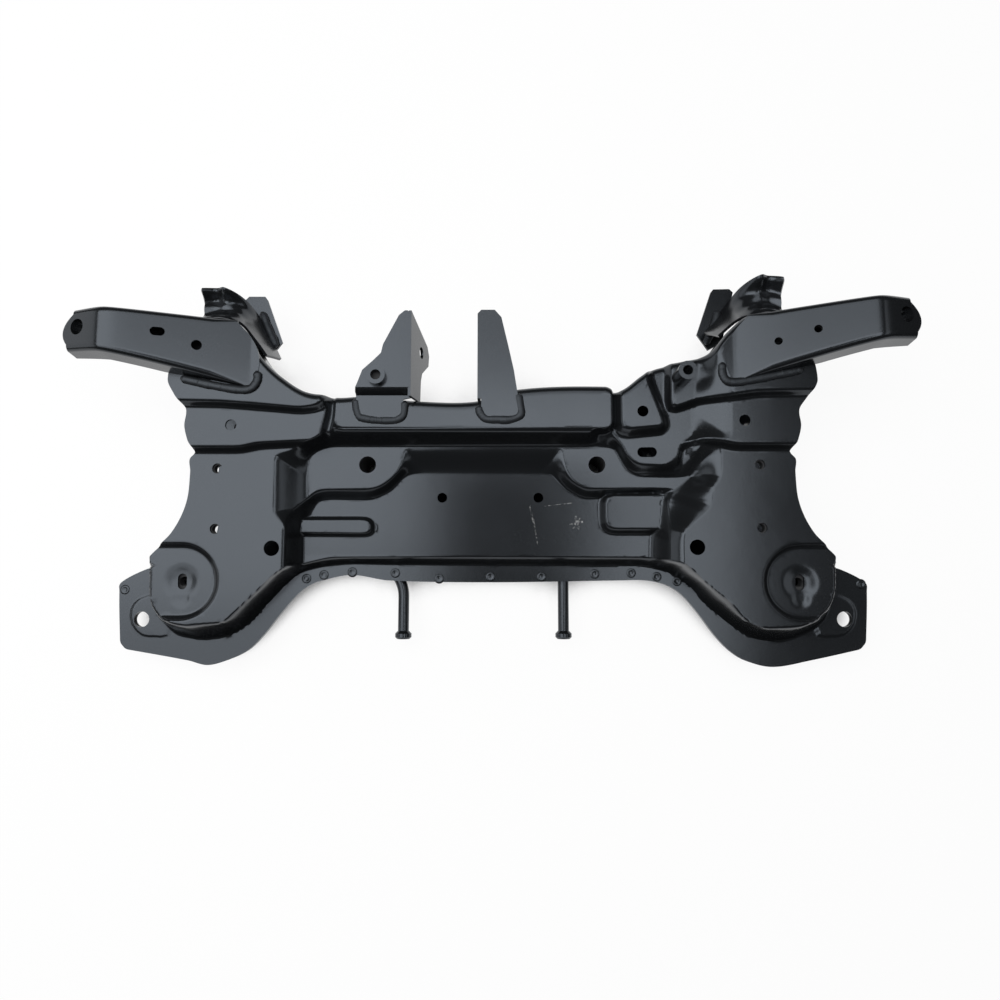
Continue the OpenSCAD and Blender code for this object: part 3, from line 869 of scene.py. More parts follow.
@dataclass
class UpperShell:
    """Upper pressing: plan outline, embosses and holes."""

    sheet: float = 3.0
    columns: tuple[int, int] = (198, 90)
    rows: int = 252
    wide: int = 3
    bent: int = 7000
    grid_half: float = 320.0
    core_share: float = 0.8
    outer_share: float = 0.2
    wall_rows: int = 6
    core_half: float = 318.0
    front_bend: float = 8.0
    front_wall: float = 34.0
    flange_height: float = 38.0
    floor_height: float = 53.0
    floor_fall: float = 4.0
    pad_height: float = 70.0
    recess_height: float = 84.0
    side_height: float = 90.0
    beam_height: float = 97.0
    shoulder_height: float = 100.0
    ledge_height: float = 110.0
    shelf_drop: float = 15.0
    side_edge: Line = (
        (-190, 404), (-127, 408), (-117, 406), (-102, 378), (-97, 357), (-90, 356), (-65, 332),
        (-34, 318), (0, 315), (14, 316), (22, 310), (32, 315), (48, 319), (66, 318), (80, 327),
        (96, 334), (140, 326))
    rear_edge: Line = (
        (-404, -190), (-330, -203), (-309, -208), (-288, -203), (-265, -192), (-249, -176),
        (-232, -154), (-214, -133), (-200, -122), (-187, -117), (-155, -111), (-114, -117), (0, -119),
        (140, -117), (167, -117), (189, -122), (206, -133), (224, -154), (240, -176), (255, -192),
        (272, -203), (302, -210), (344, -203), (404, -190))
    front_edge: Line = (
        (-326, 140), (-298, 156), (-270, 153), (-251, 130), (-238, 111), (-219, 93), (-193, 77),
        (-162, 74), (-138, 75), (-76, 70), (-18, 70), (28, 83), (118, 86), (133, 81), (156, 97),
        (171, 107), (198, 113), (222, 118), (230, 123), (244, 140), (266, 158), (298, 162), (326, 140))
    shoulder: Line = (
        (-430, 22), (-261, 22), (-245, 26), (-189, 29), (-158, 31), (111, 33), (123, 27), (136, -4),
        (192, -4), (196, 27), (217, 32), (235, 29), (252, 25), (430, 25), (430, 260), (-430, 260))
    left_ledge: Line = (
        (-430, 71), (-280, 68), (-241, 65), (-197, 61), (-179, 64), (-175, 72), (-179, 260), (-430, 260))
    right_ledge: Line = (
        (188, 65), (199, 68), (215, 74), (246, 75), (274, 79), (430, 82), (430, 260), (192, 260))
    shelf_rim: Line = (
        (101, -8), (205, -8), (216, 24), (247, 29), (248, 76), (235, 113), (220, 260), (101, 260))
    shelf_floor: Line = (
        (112, -3), (195, -3), (199, 29), (209, 33), (211, 82), (217, 113), (200, 260), (112, 260))
    right_groove: Line = ((118, 20), (137, 20), (137, 260), (118, 260))
    left_groove: Line = ((-176, 21), (-175, 21), (-166, 60), (-166, 260), (-167, 260), (-167, 60))
    beam: Line = ((-163, 42), (124, 41), (124, 260), (-163, 260))
    front_block: Line = ((136, 41), (168, 44), (177, 45), (169, 68), (160, 93), (150, 260), (136, 260))
    trough_rim: Line = (
        (-210, -260), (-210, -96), (-211, -72), (-217, -58), (-228, -48), (-228, 15), (-212, 18),
        (-184, 30), (-169, 40), (124, 41), (129, 33), (136, 24), (141, 13), (151, 5), (183, 4),
        (194, 13), (200, 24), (220, 28), (239, 22), (238, -10), (229, -20), (227, -41), (207, -58),
        (197, -68), (196, -260))
    trough_floor: Line = (
        (-200, -260), (-200, -88), (-200, -71), (-199, -53), (-196, -43), (-198, 11), (-190, 20),
        (-175, 25), (121, 25), (131, 23), (136, 13), (143, 0), (155, -7), (199, -8), (213, -5),
        (196, -19), (185, -27), (179, -53), (171, -74), (169, -260))
    floor_rim: Line = (
        (-215, -260), (-215, -48), (-205, -37), (-187, -20), (-126, -19), (-115, -14), (-102, -3),
        (-96, 11), (-95, 24), (74, 24), (75, 13), (78, 0), (85, -11), (98, -19), (194, -19),
        (186, -32), (181, -260))
    floor_flat: Line = (
        (-204, -260), (-204, -63), (-196, -43), (-190, -32), (-177, -30), (-131, -31), (-110, -21),
        (-98, -6), (-88, -2), (62, -2), (68, -8), (78, -19), (98, -30), (118, -29), (176, -24),
        (169, -74), (167, -260))
    step_pad: Line = ((122, -28), (204, -27), (198, -61), (127, -61), (122, -56))
    floor_bead: Line = ((-224, -53), (-136, -53), (-132, -57), (-132, -63), (-136, -66), (-224, -65))
    flange_rim: Line = (
        (-440, -84), (-356, -84), (-354, -137), (-345, -153), (-329, -160), (-315, -163), (-298, -161),
        (-275, -160), (-266, -151), (-246, -132), (-228, -113), (-209, -100), (-176, -92), (0, -91),
        (169, -92), (200, -100), (223, -123), (245, -140), (257, -157), (276, -166), (315, -164),
        (334, -156), (348, -143), (354, -127), (356, -84), (440, -84), (440, -300), (-440, -300))
    flange_foot: Line = (
        (-440, -99), (-367, -99), (-367, -138), (-361, -157), (-343, -176), (-315, -181), (-285, -177),
        (-262, -162), (-245, -141), (-227, -122), (-211, -108), (-187, -102), (-155, -99),
        (-114, -100), (0, -101), (161, -101), (188, -106), (215, -123), (231, -143), (257, -164),
        (277, -178), (298, -183), (318, -182), (346, -171), (361, -158), (367, -138), (367, -99),
        (440, -99), (440, -300), (-440, -300))
    step_run: float = 8.0
    groove_run: float = 5.0
    left_groove_drop: float = 4.0
    left_groove_run: float = 6.5
    block_rise: float = 1.0
    block_run: float = 11.0
    beam_run: float = 5.0
    fall_length: float = 90.0
    step_pad_rise: float = 9.0
    bead_rise: float = 6.0
    bead_run: float = 5.0
    bush_left: tuple[float, float] = (-321.5, -118.0)
    bush_right: tuple[float, float] = (318.0, -119.0)
    recess_radius: float = 34.5
    recess_run: float = 6.0
    seat_depth: float = 2.2
    seat_radius: float = 6.0
    seat_run: float = 14.0
    seat_tail: Line = ((-3, 0), (3, 0), (4, -20), (-4, -20))
    tail_depth: float = 1.2
    ear_holes: Line = ((-382, -159), (382, -159))
    ear_corner: float = 9.0
    ear_pad: Line = (
        (369, -132), (387, -138), (394, -149), (392, -164), (381, -176), (352, -177), (352, -140))
    ear_pad_rise: float = 0.9
    ear_pad_run: float = 1.6
    pad_holes: Line = ((-134, 6), (111, 6))
    floor_holes: Line = ((-55, -28), (49, -28))
    side_holes: Line = ((-228, -84), (211, -83))
    nut_holes: Line = ((-287, -1), (-287, -64), (278.5, 3), (278.5, -63))
    shoulder_holes: Line = ((-271, 43), (261, 48), (156, 58))
    shelf_slot: tuple[float, float] = (162.0, 17.0)
    ear_hole: float = 8.4
    pad_hole: float = 9.0
    side_hole: float = 8.0
    nut_hole: float = 5.3
    shoulder_hole: float = 5.8
    slot_half: float = 5.0
    bush_slot: tuple[float, float, float] = (4.7, 3.4, 90.0)
    tool_level: float = 80.0

    def plain_height(self, p: np.ndarray) -> np.ndarray:
        """Height of the pressing before its rear flange, one emboss after another.

        Args:
            p: Points, the last axis X and Y.

        Returns:
            Height of each point.
        """
        z = mix(self.side_height, self.shoulder_height, raised(p, self.shoulder, self.step_run))
        left, right = (raised(p, ledge, self.step_run) for ledge in (self.left_ledge, self.right_ledge))
        z = mix(z, self.ledge_height, np.maximum(left, right))
        z = z - self.shelf_drop * drawn(p, self.shelf_rim, self.shelf_floor)
        z = mix(z, self.shoulder_height - self.shelf_drop, raised(p, self.right_groove, self.groove_run))
        groove = raised(p, self.left_groove, self.left_groove_run)
        z = mix(z, self.beam_height - self.left_groove_drop, groove)
        z = mix(z, self.beam_height + self.block_rise, raised(p, self.front_block, self.block_run))
        z = mix(z, self.beam_height, raised(p, self.beam, self.beam_run))
        z = mix(z, self.pad_height, drawn(p, self.trough_rim, self.trough_floor))
        forward = np.clip((p[..., 1] + self.fall_length) / self.fall_length, 0, 1)
        level = self.floor_height + self.floor_fall * forward
        z = mix(z, level, drawn(p, self.floor_rim, self.floor_flat))
        z = np.maximum(z, level + self.step_pad_rise * raised(p, self.step_pad, self.step_run))
        z = np.maximum(z, level + self.bead_rise * raised(p, self.floor_bead, self.bead_run))
        for centre in (self.bush_left, self.bush_right):
            short = np.minimum(np.abs(p[..., 0]), abs(centre[0])) - abs(centre[0])
            inward = np.stack([short, p[..., 1] - centre[1]], axis=-1)
            near = p[..., 0] * centre[0] > 0
            step = round_step(inward, (0.0, 0.0), self.recess_radius, self.recess_run)
            z = mix(z, self.recess_height, np.where(near, step, 0.0))
        return z

    def detail(self, p: np.ndarray) -> np.ndarray:
        """Small embosses on top of the main form: bush seats and ear pads.

        Args:
            p: Points, the last axis X and Y.

        Returns:
            Height to add at each point.
        """
        z = np.zeros(p.shape[:-1])
        for x, y in (self.bush_left, self.bush_right):
            tail = tuple((x + aside, y + back) for aside, back in self.seat_tail)
            seat = self.seat_depth * round_step(p, (x, y), self.seat_radius, self.seat_run)
            z -= np.maximum(seat, self.tail_depth * raised(p, tail, self.step_run))
        for side in Side:
            pad = tuple((side.value * x, y) for x, y in self.ear_pad)
            z += self.ear_pad_rise * raised(p, pad, self.ear_pad_run)
        return z

    def height(self, p: np.ndarray) -> np.ndarray:
        """Height of the whole pressing."""
        z = mix(self.plain_height(p), self.flange_height, drawn(p, self.flange_rim, self.flange_foot))
        return z + self.detail(p)

    def half_width(self, row: np.ndarray) -> np.ndarray:
        """Half width of the pressing at a row."""
        return curve(self.side_edge, mix(self.side_edge[0][0], self.side_edge[-1][0], row))

    def across(self, column: np.ndarray, width: np.ndarray) -> np.ndarray:
        """Place of a column across the car; only the outer columns follow the sides.

        Args:
            column: The column, from minus to plus grid_half.
            width: Half width of the pressing there.

        Returns:
            X of each column.
        """
        u = np.abs(column) / self.grid_half
        follow = ease((u - self.core_share) / self.outer_share)
        return np.sign(column) * (u * self.core_half + follow * (width - self.core_half))

    def edges(self, column: np.ndarray) -> tuple[np.ndarray, np.ndarray]:
        """Rear and front edge of the plan outline at a column."""
        rear = curve(self.rear_edge, self.across(column, self.side_edge[0][1]))
        return rear, curve(self.front_edge, self.across(column, self.side_edge[-1][1]))

    def place(self, column: np.ndarray, row: np.ndarray, inset: float) -> np.ndarray:
        """Plan place for a column and a row, with the front edge set back by an inset.

        Args:
            column: The column, from minus to plus grid_half.
            row: Share of the way from the rear edge to the front edge.
            inset: How far the front edge is set back.

        Returns:
            X and Y of each point.
        """
        rear, front = self.edges(column)
        width = self.half_width(row)
        x, y = self.across(column, width), mix(rear, front - inset, row)
        wide = np.maximum(0.0, self.ear_corner - width + np.abs(x))
        long = np.maximum(0.0, self.ear_corner - y + rear)
        cut = 1.0 - np.maximum(wide, long) / np.maximum(np.hypot(wide, long), 1e-6)
        turned = np.where((wide > 0) & (long > 0), cut, 0.0)
        return np.stack([x - np.sign(x) * wide * turned, y + long * turned], axis=-1)

    def column_steps(self, inner: int, outer: int) -> np.ndarray:
        """Columns of a grid, so many on each side of the middle and so many in each outer part.

        Args:
            inner: Columns in the core, on each side.
            outer: Columns in each outer part.

        Returns:
            The columns, left to right.
        """
        core = np.linspace(0.0, self.core_share, inner + 1)
        half = np.concatenate([core, np.linspace(self.core_share, 1.0, outer + 1)[1:]])
        return self.grid_half * np.concatenate([-half[:0:-1], half])

    def grid(self) -> tuple[np.ndarray, int]:
        """Points of the seen surface and the number of rows before the front bend.

        Returns:
            The grid and that number.
        """
        columns = self.column_steps(*self.columns)
        rows = np.linspace(0.0, 1.0, self.rows + 1)
        column, row = np.meshgrid(columns, rows)
        p = self.place(column, row, self.front_bend)
        flat = np.concatenate([p, self.height(p)[..., None]], axis=-1)
        edge = flat[-1]
        extra = []
        for a in quarter(15):
            extra.append(edge + self.front_bend * np.array([0.0, math.sin(a), math.cos(a) - 1.0]))
        for share in np.linspace(0.0, 1.0, self.wall_rows + 1)[1:]:
            extra.append(edge + np.array([0.0, self.front_bend, -self.front_bend - self.front_wall * share]))
        return np.concatenate([flat, np.stack(extra)]), len(flat)

    def through_holes(self, level: float) -> list[Drill]:
        """Holes that run through both shells.

        Args:
            level: Height of the middle of their tools.

        Returns:
            The holes of the ears, the pads and the sides.
        """
        ears, pads = (self.ear_holes, self.ear_hole), (self.pad_holes, self.pad_hole)
        kinds = (ears, pads, (self.side_holes, self.side_hole))
        return [Drill((x, y, level), radius) for places, radius in kinds for x, y in places]

    def drills(self) -> list[Drill]:
        """All holes of the pressing.

        Returns:
            The holes.
        """
        level = self.tool_level
        tools = self.through_holes(level)
        tools += [Drill((x, y, level), self.nut_hole) for x, y in self.floor_holes + self.nut_holes]
        tools += [Drill((x, y, level), self.shoulder_hole) for x, y in self.shoulder_holes]
        tools.append(Drill((*self.shelf_slot, level), self.nut_hole, self.slot_half))
        tools += [Drill((*c, level), *self.bush_slot) for c in (self.bush_left, self.bush_right)]
        return tools

    def build(self) -> bpy.types.Object:
        """The pressing as one sheet with its holes.

        Returns:
            The piece.
        """
        grid, flat_rows = self.grid()
        obj = fine_sheet("upper_shell", grid, self.wide, self.sheet, flat_rows // self.wide + 1, self.bent)
        drill(obj, self.drills(), SHELL_SHARP)
        return obj


@dataclass
class LowerShell:
    """Lower pressing: rear lap, pan with a raised middle and front wall."""

    upper: UpperShell
    lap_gap: float = 0.3
    inset: float = 1.5
    bend: float = 8.0
    front_limit: float = 82.0
    wall_top: float = 72.0
    pan_rib: float = 10.0
    pan_run: float = 14.0
    rise_run: float = 20.0
    rise_drop: float = 0.8
    columns: tuple[int, int] = (62, 30)
    lap_share: float = 0.06
    lap_rows: int = 7
    lap_rise: float = 4.0
    lap_play: float = 0.3
    pan_share: float = 0.15
    pan_rows: int = 64
    wall_rows: int = 4
    bush_hole: float = 13.0
    drain_hole: float = 5.8
    tool_level: float = 30.0
    pan_middle: Line = ((-180, -62), (172, -62), (172, 32), (-180, 32))
    drain_holes: Line = ((-40, -76), (40, -76), (-296, 60), (296, 60))

    def height(self, p: np.ndarray) -> np.ndarray:
        """Height of the pan, with its rise to the rear flange.

        Args:
            p: Points, the last axis X and Y.

        Returns:
            Height of each point.
        """
        sheet = self.upper.sheet
        pan = mix(sheet, sheet + self.pan_rib, raised(p, self.pan_middle, self.pan_run))
        lap = self.upper.flange_height - sheet - self.lap_gap - self.rise_drop
        return mix(pan, lap, raised(p, self.upper.flange_foot, self.rise_run))

    def build(self) -> bpy.types.Object:
        """The pressing as one sheet with its holes.

        Returns:
            The piece.
        """
        up = self.upper
        columns = up.column_steps(*self.columns)
        column, row = np.meshgrid(columns, np.linspace(0.0, self.lap_share, self.lap_rows))
        p = up.place(column, row, up.front_bend)
        lap_height = np.minimum(up.height(p), up.flange_height + self.lap_rise)
        lap_top = np.concatenate([p, lap_height[..., None]], axis=-1)
        lap = lap_top - np.array([0, 0, up.sheet + self.lap_gap + self.lap_play])
        column, row = np.meshgrid(columns, np.linspace(self.pan_share, 1.0, self.pan_rows))
        rear, front = up.edges(column)
        front = np.minimum(front - 2 * up.sheet - self.inset, self.front_limit) - self.bend
        p = np.stack([up.across(column, up.half_width(row)), mix(rear, front, row)], axis=-1)
        pan = np.concatenate([p, self.height(p)[..., None]], axis=-1)
        edge = pan[-1]
        extra = [edge + self.bend * np.array([0, math.sin(a), 1 - math.cos(a)]) for a in quarter(18)]
        top = edge.copy()
        top[:, 1] += self.bend
        for share in np.linspace(0.0, 1.0, self.wall_rows + 1)[1:]:
            wall = top.copy()
            wall[:, 2] = mix(edge[:, 2] + self.bend, self.wall_top, share)
            extra.append(wall)
        flat_rows = len(lap) + len(pan)
        obj = sheet_object("lower_shell", np.concatenate([lap, pan, np.stack(extra)]), up.sheet, flat_rows)
        tools = up.through_holes(self.tool_level)
        tools += [Drill((*c, self.tool_level), self.bush_hole) for c in (up.bush_left, up.bush_right)]
        tools += [Drill((x, y, self.tool_level), self.drain_hole) for x, y in self.drain_holes]
        drill(obj, tools)
        return obj


@dataclass
class Arm:
    """Arm that rises from a ledge to the body rail: a channel, a sheet below it and a spacer tube."""

    side: Side
    ledge: float = 110.0
    sheet: float = 3.0
    root: float = 5.0
    slope: float = 18.0
    end_slope: float = 20.0
    depth: float = 27.0
    start: float = 262.0
    root_end: float = 249.0
    bend: float = 384.0
    corner: float = 6.0
    splay: float = 0.1
    front_line: Line = ((253, 150), (271, 150), (310, 151), (384, 152), (430, 151))
    rear_line: Line = ((240, 78), (253, 81), (320, 95.5), (384, 106.5), (430, 110))
    end_place: tuple[float, float] = (411.0, 132.5)
    front_ends: tuple[float, float] = (263, 416)
    rear_ends: tuple[float, float] = (249, 423)
    bulges: tuple[float, float] = (-15, 8)
    right_lead: float = 6.0
    right_lead_from: float = 260.0
    right_lead_rate: float = 0.045
    bend_soft: float = 36.0
    ledge_gap: float = 0.7
    lift_from: float = 336.0
    end_fall: float = 0.2
    end_hole: float = 8.0
    end_reach: float = 30.0
    face_reach: float = 14.0
    left_holes: tuple[tuple[float, ...], ...] = ((334, 130, 4.4, 2.6), (299, 119.5, 5.2, 0))
    right_holes: tuple[tuple[float, ...], ...] = ((290, 124.5, 4.0, 0), (326, 133.5, 4.0, 0))
    length_steps: int = 90
    wall_steps: int = 8
    face_steps: int = 26
    closing_ends: tuple[float, float] = (272.0, 346.0)
    closing_steps: int = 20
    closing_lift: float = 3.0
    closing_sheet: float = 2.0
    sleeve_rings: Line = ((8.1, 1.0), (8.1, 21.0), (10.6, 21.0), (10.6, 3.2))

    def shift(self, a: np.ndarray) -> np.ndarray:
        """Forward shift of the right arm against the left one."""
        lead = self.right_lead + (a - self.right_lead_from) * self.right_lead_rate
        return lead if self.side is Side.RIGHT else 0.0 * a

    def past_bend(self, a: np.ndarray) -> np.ndarray:
        """Distance past the bend at the end, with a soft start."""
        over = a - self.bend
        return 0.5 * (np.sqrt(over ** 2 + self.bend_soft) + over)

    def top(self, a: np.ndarray) -> np.ndarray:
        """Height of the face at a distance from the middle, with a soft bend at the end.

        Args:
            a: Distance from the middle of the car.

        Returns:
            The height.
        """
        rise = math.tan(math.radians(self.slope))
        fall = math.tan(math.radians(self.end_slope))
        bent = self.past_bend(a) - self.past_bend(self.start)
        lead = np.maximum(a, self.root_end) - self.start
        return self.ledge + self.root + rise * lead - (rise + fall) * bent

    def bottom(self, a: np.ndarray) -> np.ndarray:
        """Height of the channel's lower edge.

        Args:
            a: Distance from the middle of the car.

        Returns:
            The height.
        """
        low = self.ledge + self.ledge_gap
        rise = math.tan(math.radians(self.slope))
        bend_low = self.ledge + self.root + rise * (self.bend - self.start) - self.depth
        share = np.clip((a - self.lift_from) / (self.bend - self.lift_from), 0, 1)
        return mix(low, bend_low, share) - self.end_fall * np.maximum(0, a - self.bend)

    def point(self, s: np.ndarray, across: float, out: float, down: float) -> np.ndarray:
        """Point of the channel at a share of its length, across, around its corner and down its wall.

        Args:
            s: Share of the length.
            across: 0 at the front edge, 1 at the rear edge.
            out: Share of the corner's width.
            down: 0 to 1 around the corner, 1 to 2 down the wall.

        Returns:
            The points.
        """
        a = mix(mix(*self.front_ends, s), mix(*self.rear_ends, s), across)
        top, low = self.top(a), self.bottom(a)
        corner = np.minimum(self.corner, (top - low) / 2)
        front, rear = curve(self.front_line, a), curve(self.rear_line, a)
        y = rear + corner * (1 - out) if across == 1 else front - corner * (1 - out)
        spread = (top - low) * self.splay * max(0.0, down - 1) * (-1 if across == 1 else 1)
        z = top - corner * down if down <= 1 else mix(top - corner, low, down - 1)
        return np.stack([self.side.value * a, y + self.shift(a) + spread, z], axis=-1)

    def end_point(self) -> tuple[float, float, float]:
        """Middle of the body bolt's hole, on the end face."""
        a, y = self.end_place
        return self.side.value * a, y + float(self.shift(np.array(a))), float(self.top(np.array(a)))

    def tools(self) -> list[Drill]:
        """Holes of the arm: the body bolt and the small ones of its face.

        Returns:
            The holes.
        """
        sign = self.side.value
        fall, rise = math.radians(self.end_slope), math.radians(self.slope)
        end_axis = (sign * math.sin(fall), 0.0, math.cos(fall))
        face_axis = (-sign * math.sin(rise), 0.0, math.cos(rise))
        tools = [Drill(self.end_point(), self.end_hole, axis=end_axis, reach=self.end_reach)]
        for a, y, radius, half in self.left_holes if self.side is Side.LEFT else self.right_holes:
            place = (sign * a, y, float(self.top(np.array(float(a)))))
            tools.append(Drill(place, radius, half, axis=face_axis, reach=self.face_reach))
        return tools

    def build(self) -> bpy.types.Object:
        """The arm as one bent sheet with its holes.

        Returns:
            The piece.
        """
        s = np.linspace(0.0, 1.0, self.length_steps)[::self.side.value]
        profile = [(1, 1, d) for d in np.linspace(2, 1, self.wall_steps)]
        turns = np.radians(np.arange(75, 0, -15))
        profile += [(1, math.sin(t), 1 - math.cos(t)) for t in turns]
        profile += [(w, 0, 0) for w in np.linspace(1, 0, self.face_steps)]
        profile += [(0, math.sin(t), 1 - math.cos(t)) for t in turns[::-1]]
        profile += [(0, 1, d) for d in np.linspace(1, 2, self.wall_steps)]
        rows = []
        for across, out, down in profile:
            on_face = 0 < across < 1
            rows.append(self.edge_mix(s, across) if on_face else self.point(s, across, out, down))
        name = f"{self.side.name.lower()}_arm_channel"
        obj = sheet_object(name, np.stack(rows), self.sheet)
        drill(obj, self.tools())
        return obj

    def closing(self) -> bpy.types.Object:
        """The sheet that closes the channel below, up to the end plate.

        Returns:
            The piece.
        """
        a = np.linspace(*self.closing_ends, self.closing_steps)[::self.side.value]
        z = self.bottom(a) + self.closing_lift
        rows = []
        for share in (0.0, 1.0):
            y = mix(curve(self.rear_line, a) + self.sheet, curve(self.front_line, a) - self.sheet, share)
            rows.append(np.stack([self.side.value * a, y + self.shift(a), z], axis=-1))
        return sheet_object(f"{self.side.name.lower()}_arm_closing", np.stack(rows), self.closing_sheet)

    def sleeve(self) -> bpy.types.Object:
        """The spacer tube inside the end of the arm, around the body bolt.

        Returns:
            The piece.
        """
        fall = math.radians(self.end_slope)
        axis = np.array([self.side.value * math.sin(fall), 0.0, math.cos(fall)])
        wide, deep = np.array([axis[2], 0.0, -axis[0]]), np.array([0.0, 1.0, 0.0])
        top = np.array(self.end_point())
        steps = 32
        verts, faces = [], []
        for radius, drop in self.sleeve_rings:
            for t in 2 * np.pi * np.arange(steps) / steps:
                verts.append(top - axis * drop + radius * (wide * np.cos(t) + deep * np.sin(t)))
        rings = len(self.sleeve_rings)
        for ring in range(rings):
            j, m = ring * steps, (ring + 1) % rings * steps
            for k in range(steps):
                faces.append((j + k, m + k, m + (k + 1) % steps, j + (k + 1) % steps))
        return new_object(f"{self.side.name.lower()}_arm_sleeve", np.array(verts), faces)

    def edge_mix(self, s: np.ndarray, across: float) -> np.ndarray:
        """Point of the face between its two rounded edges.

        Args:
            s: Share of the length.
            across: 0 at the front edge, 1 at the rear edge.

        Returns:
            The points.
        """
        one, other = self.point(s, 1, 0, 0), self.point(s, 0, 0, 0)
        middle = mix(other, one, across)
        bulge = 4 * across * (1 - across) * mix(*self.bulges, s)
        a = np.abs(middle[:, 0]) + bulge
        middle[:, 0] = self.side.value * a
        middle[:, 2] = self.top(a)
        return middle


@dataclass
class BushBracket:
    """Apron that wraps a front corner of the upper shell under the arm."""

    side: Side
    upper: UpperShell
    gap: float = 3.15
    middle: float = 286.0
    start: float = 92.0
    ridge: float = 1.6
    ridge_turns: float = 5.0
    ridge_from: float = 264.0
    ridge_length: float = 36.0
    half_length: float = 34.0
    right_extra: float = 8.0
    length_steps: int = 60
    drop_steps: int = 30
    steps: tuple[tuple[float, ...], ...] = (
        (308, 0, 38, 82, 92), (299, 3, 37, 78, 84), (290, 5, 33, 80, 92), (276, 6, 28, 76, 70),
        (266, 7, 17, 70, 47), (254, 6, 9, 72, 47), (242, 5, 6, 76, 58))

    def build(self) -> bpy.types.Object:
        """The apron as one bent sheet.

        Returns:
            The piece.
        """
        sign = self.side.value
        extra = self.right_extra if self.side is Side.RIGHT else 0.0
        table = np.asarray(self.steps[::-1], float)
        reach = np.linspace(table[0, 0], table[-1, 0], self.length_steps)[::sign]
        pull, out, mid, low = (curve(tuple(zip(table[:, 0], table[:, k])), reach) for k in (1, 2, 3, 4))
        x = sign * reach
        y = curve(self.upper.front_edge, x) + self.gap
        fade = np.clip((reach - self.ridge_from) / self.ridge_length, 0.0, 1.0)
        rows = []
        for w in np.linspace(0, 1, self.drop_steps):
            z = self.drop(w, mid, low) + self.ridge * math.sin(self.ridge_turns * math.pi * w) * fade
            apart = sign * self.gap * (reach - self.middle) / self.half_length
            rows.append(np.stack([x - sign * pull * w + apart, y + (out + extra) * w, z], axis=-1))
        return sheet_object(f"{self.side.name.lower()}_apron", np.stack(rows), self.upper.sheet)

    def drop(self, w: float, mid: np.ndarray, low: np.ndarray) -> np.ndarray:
        """Height down the apron, a smooth curve through its start, middle and foot.

        Args:
            w: Share of the way down.
            mid: Height halfway.
            low: Height of the foot.

        Returns:
            The height.
        """
        half = 0.5
        first, last = (mid - self.start) / half, (low - mid) / half
        through = low - self.start
        if w < half:
            return hermite(self.start, mid, first, through, w / half, half)
        return hermite(mid, low, through, last, (w - half) / half, half)


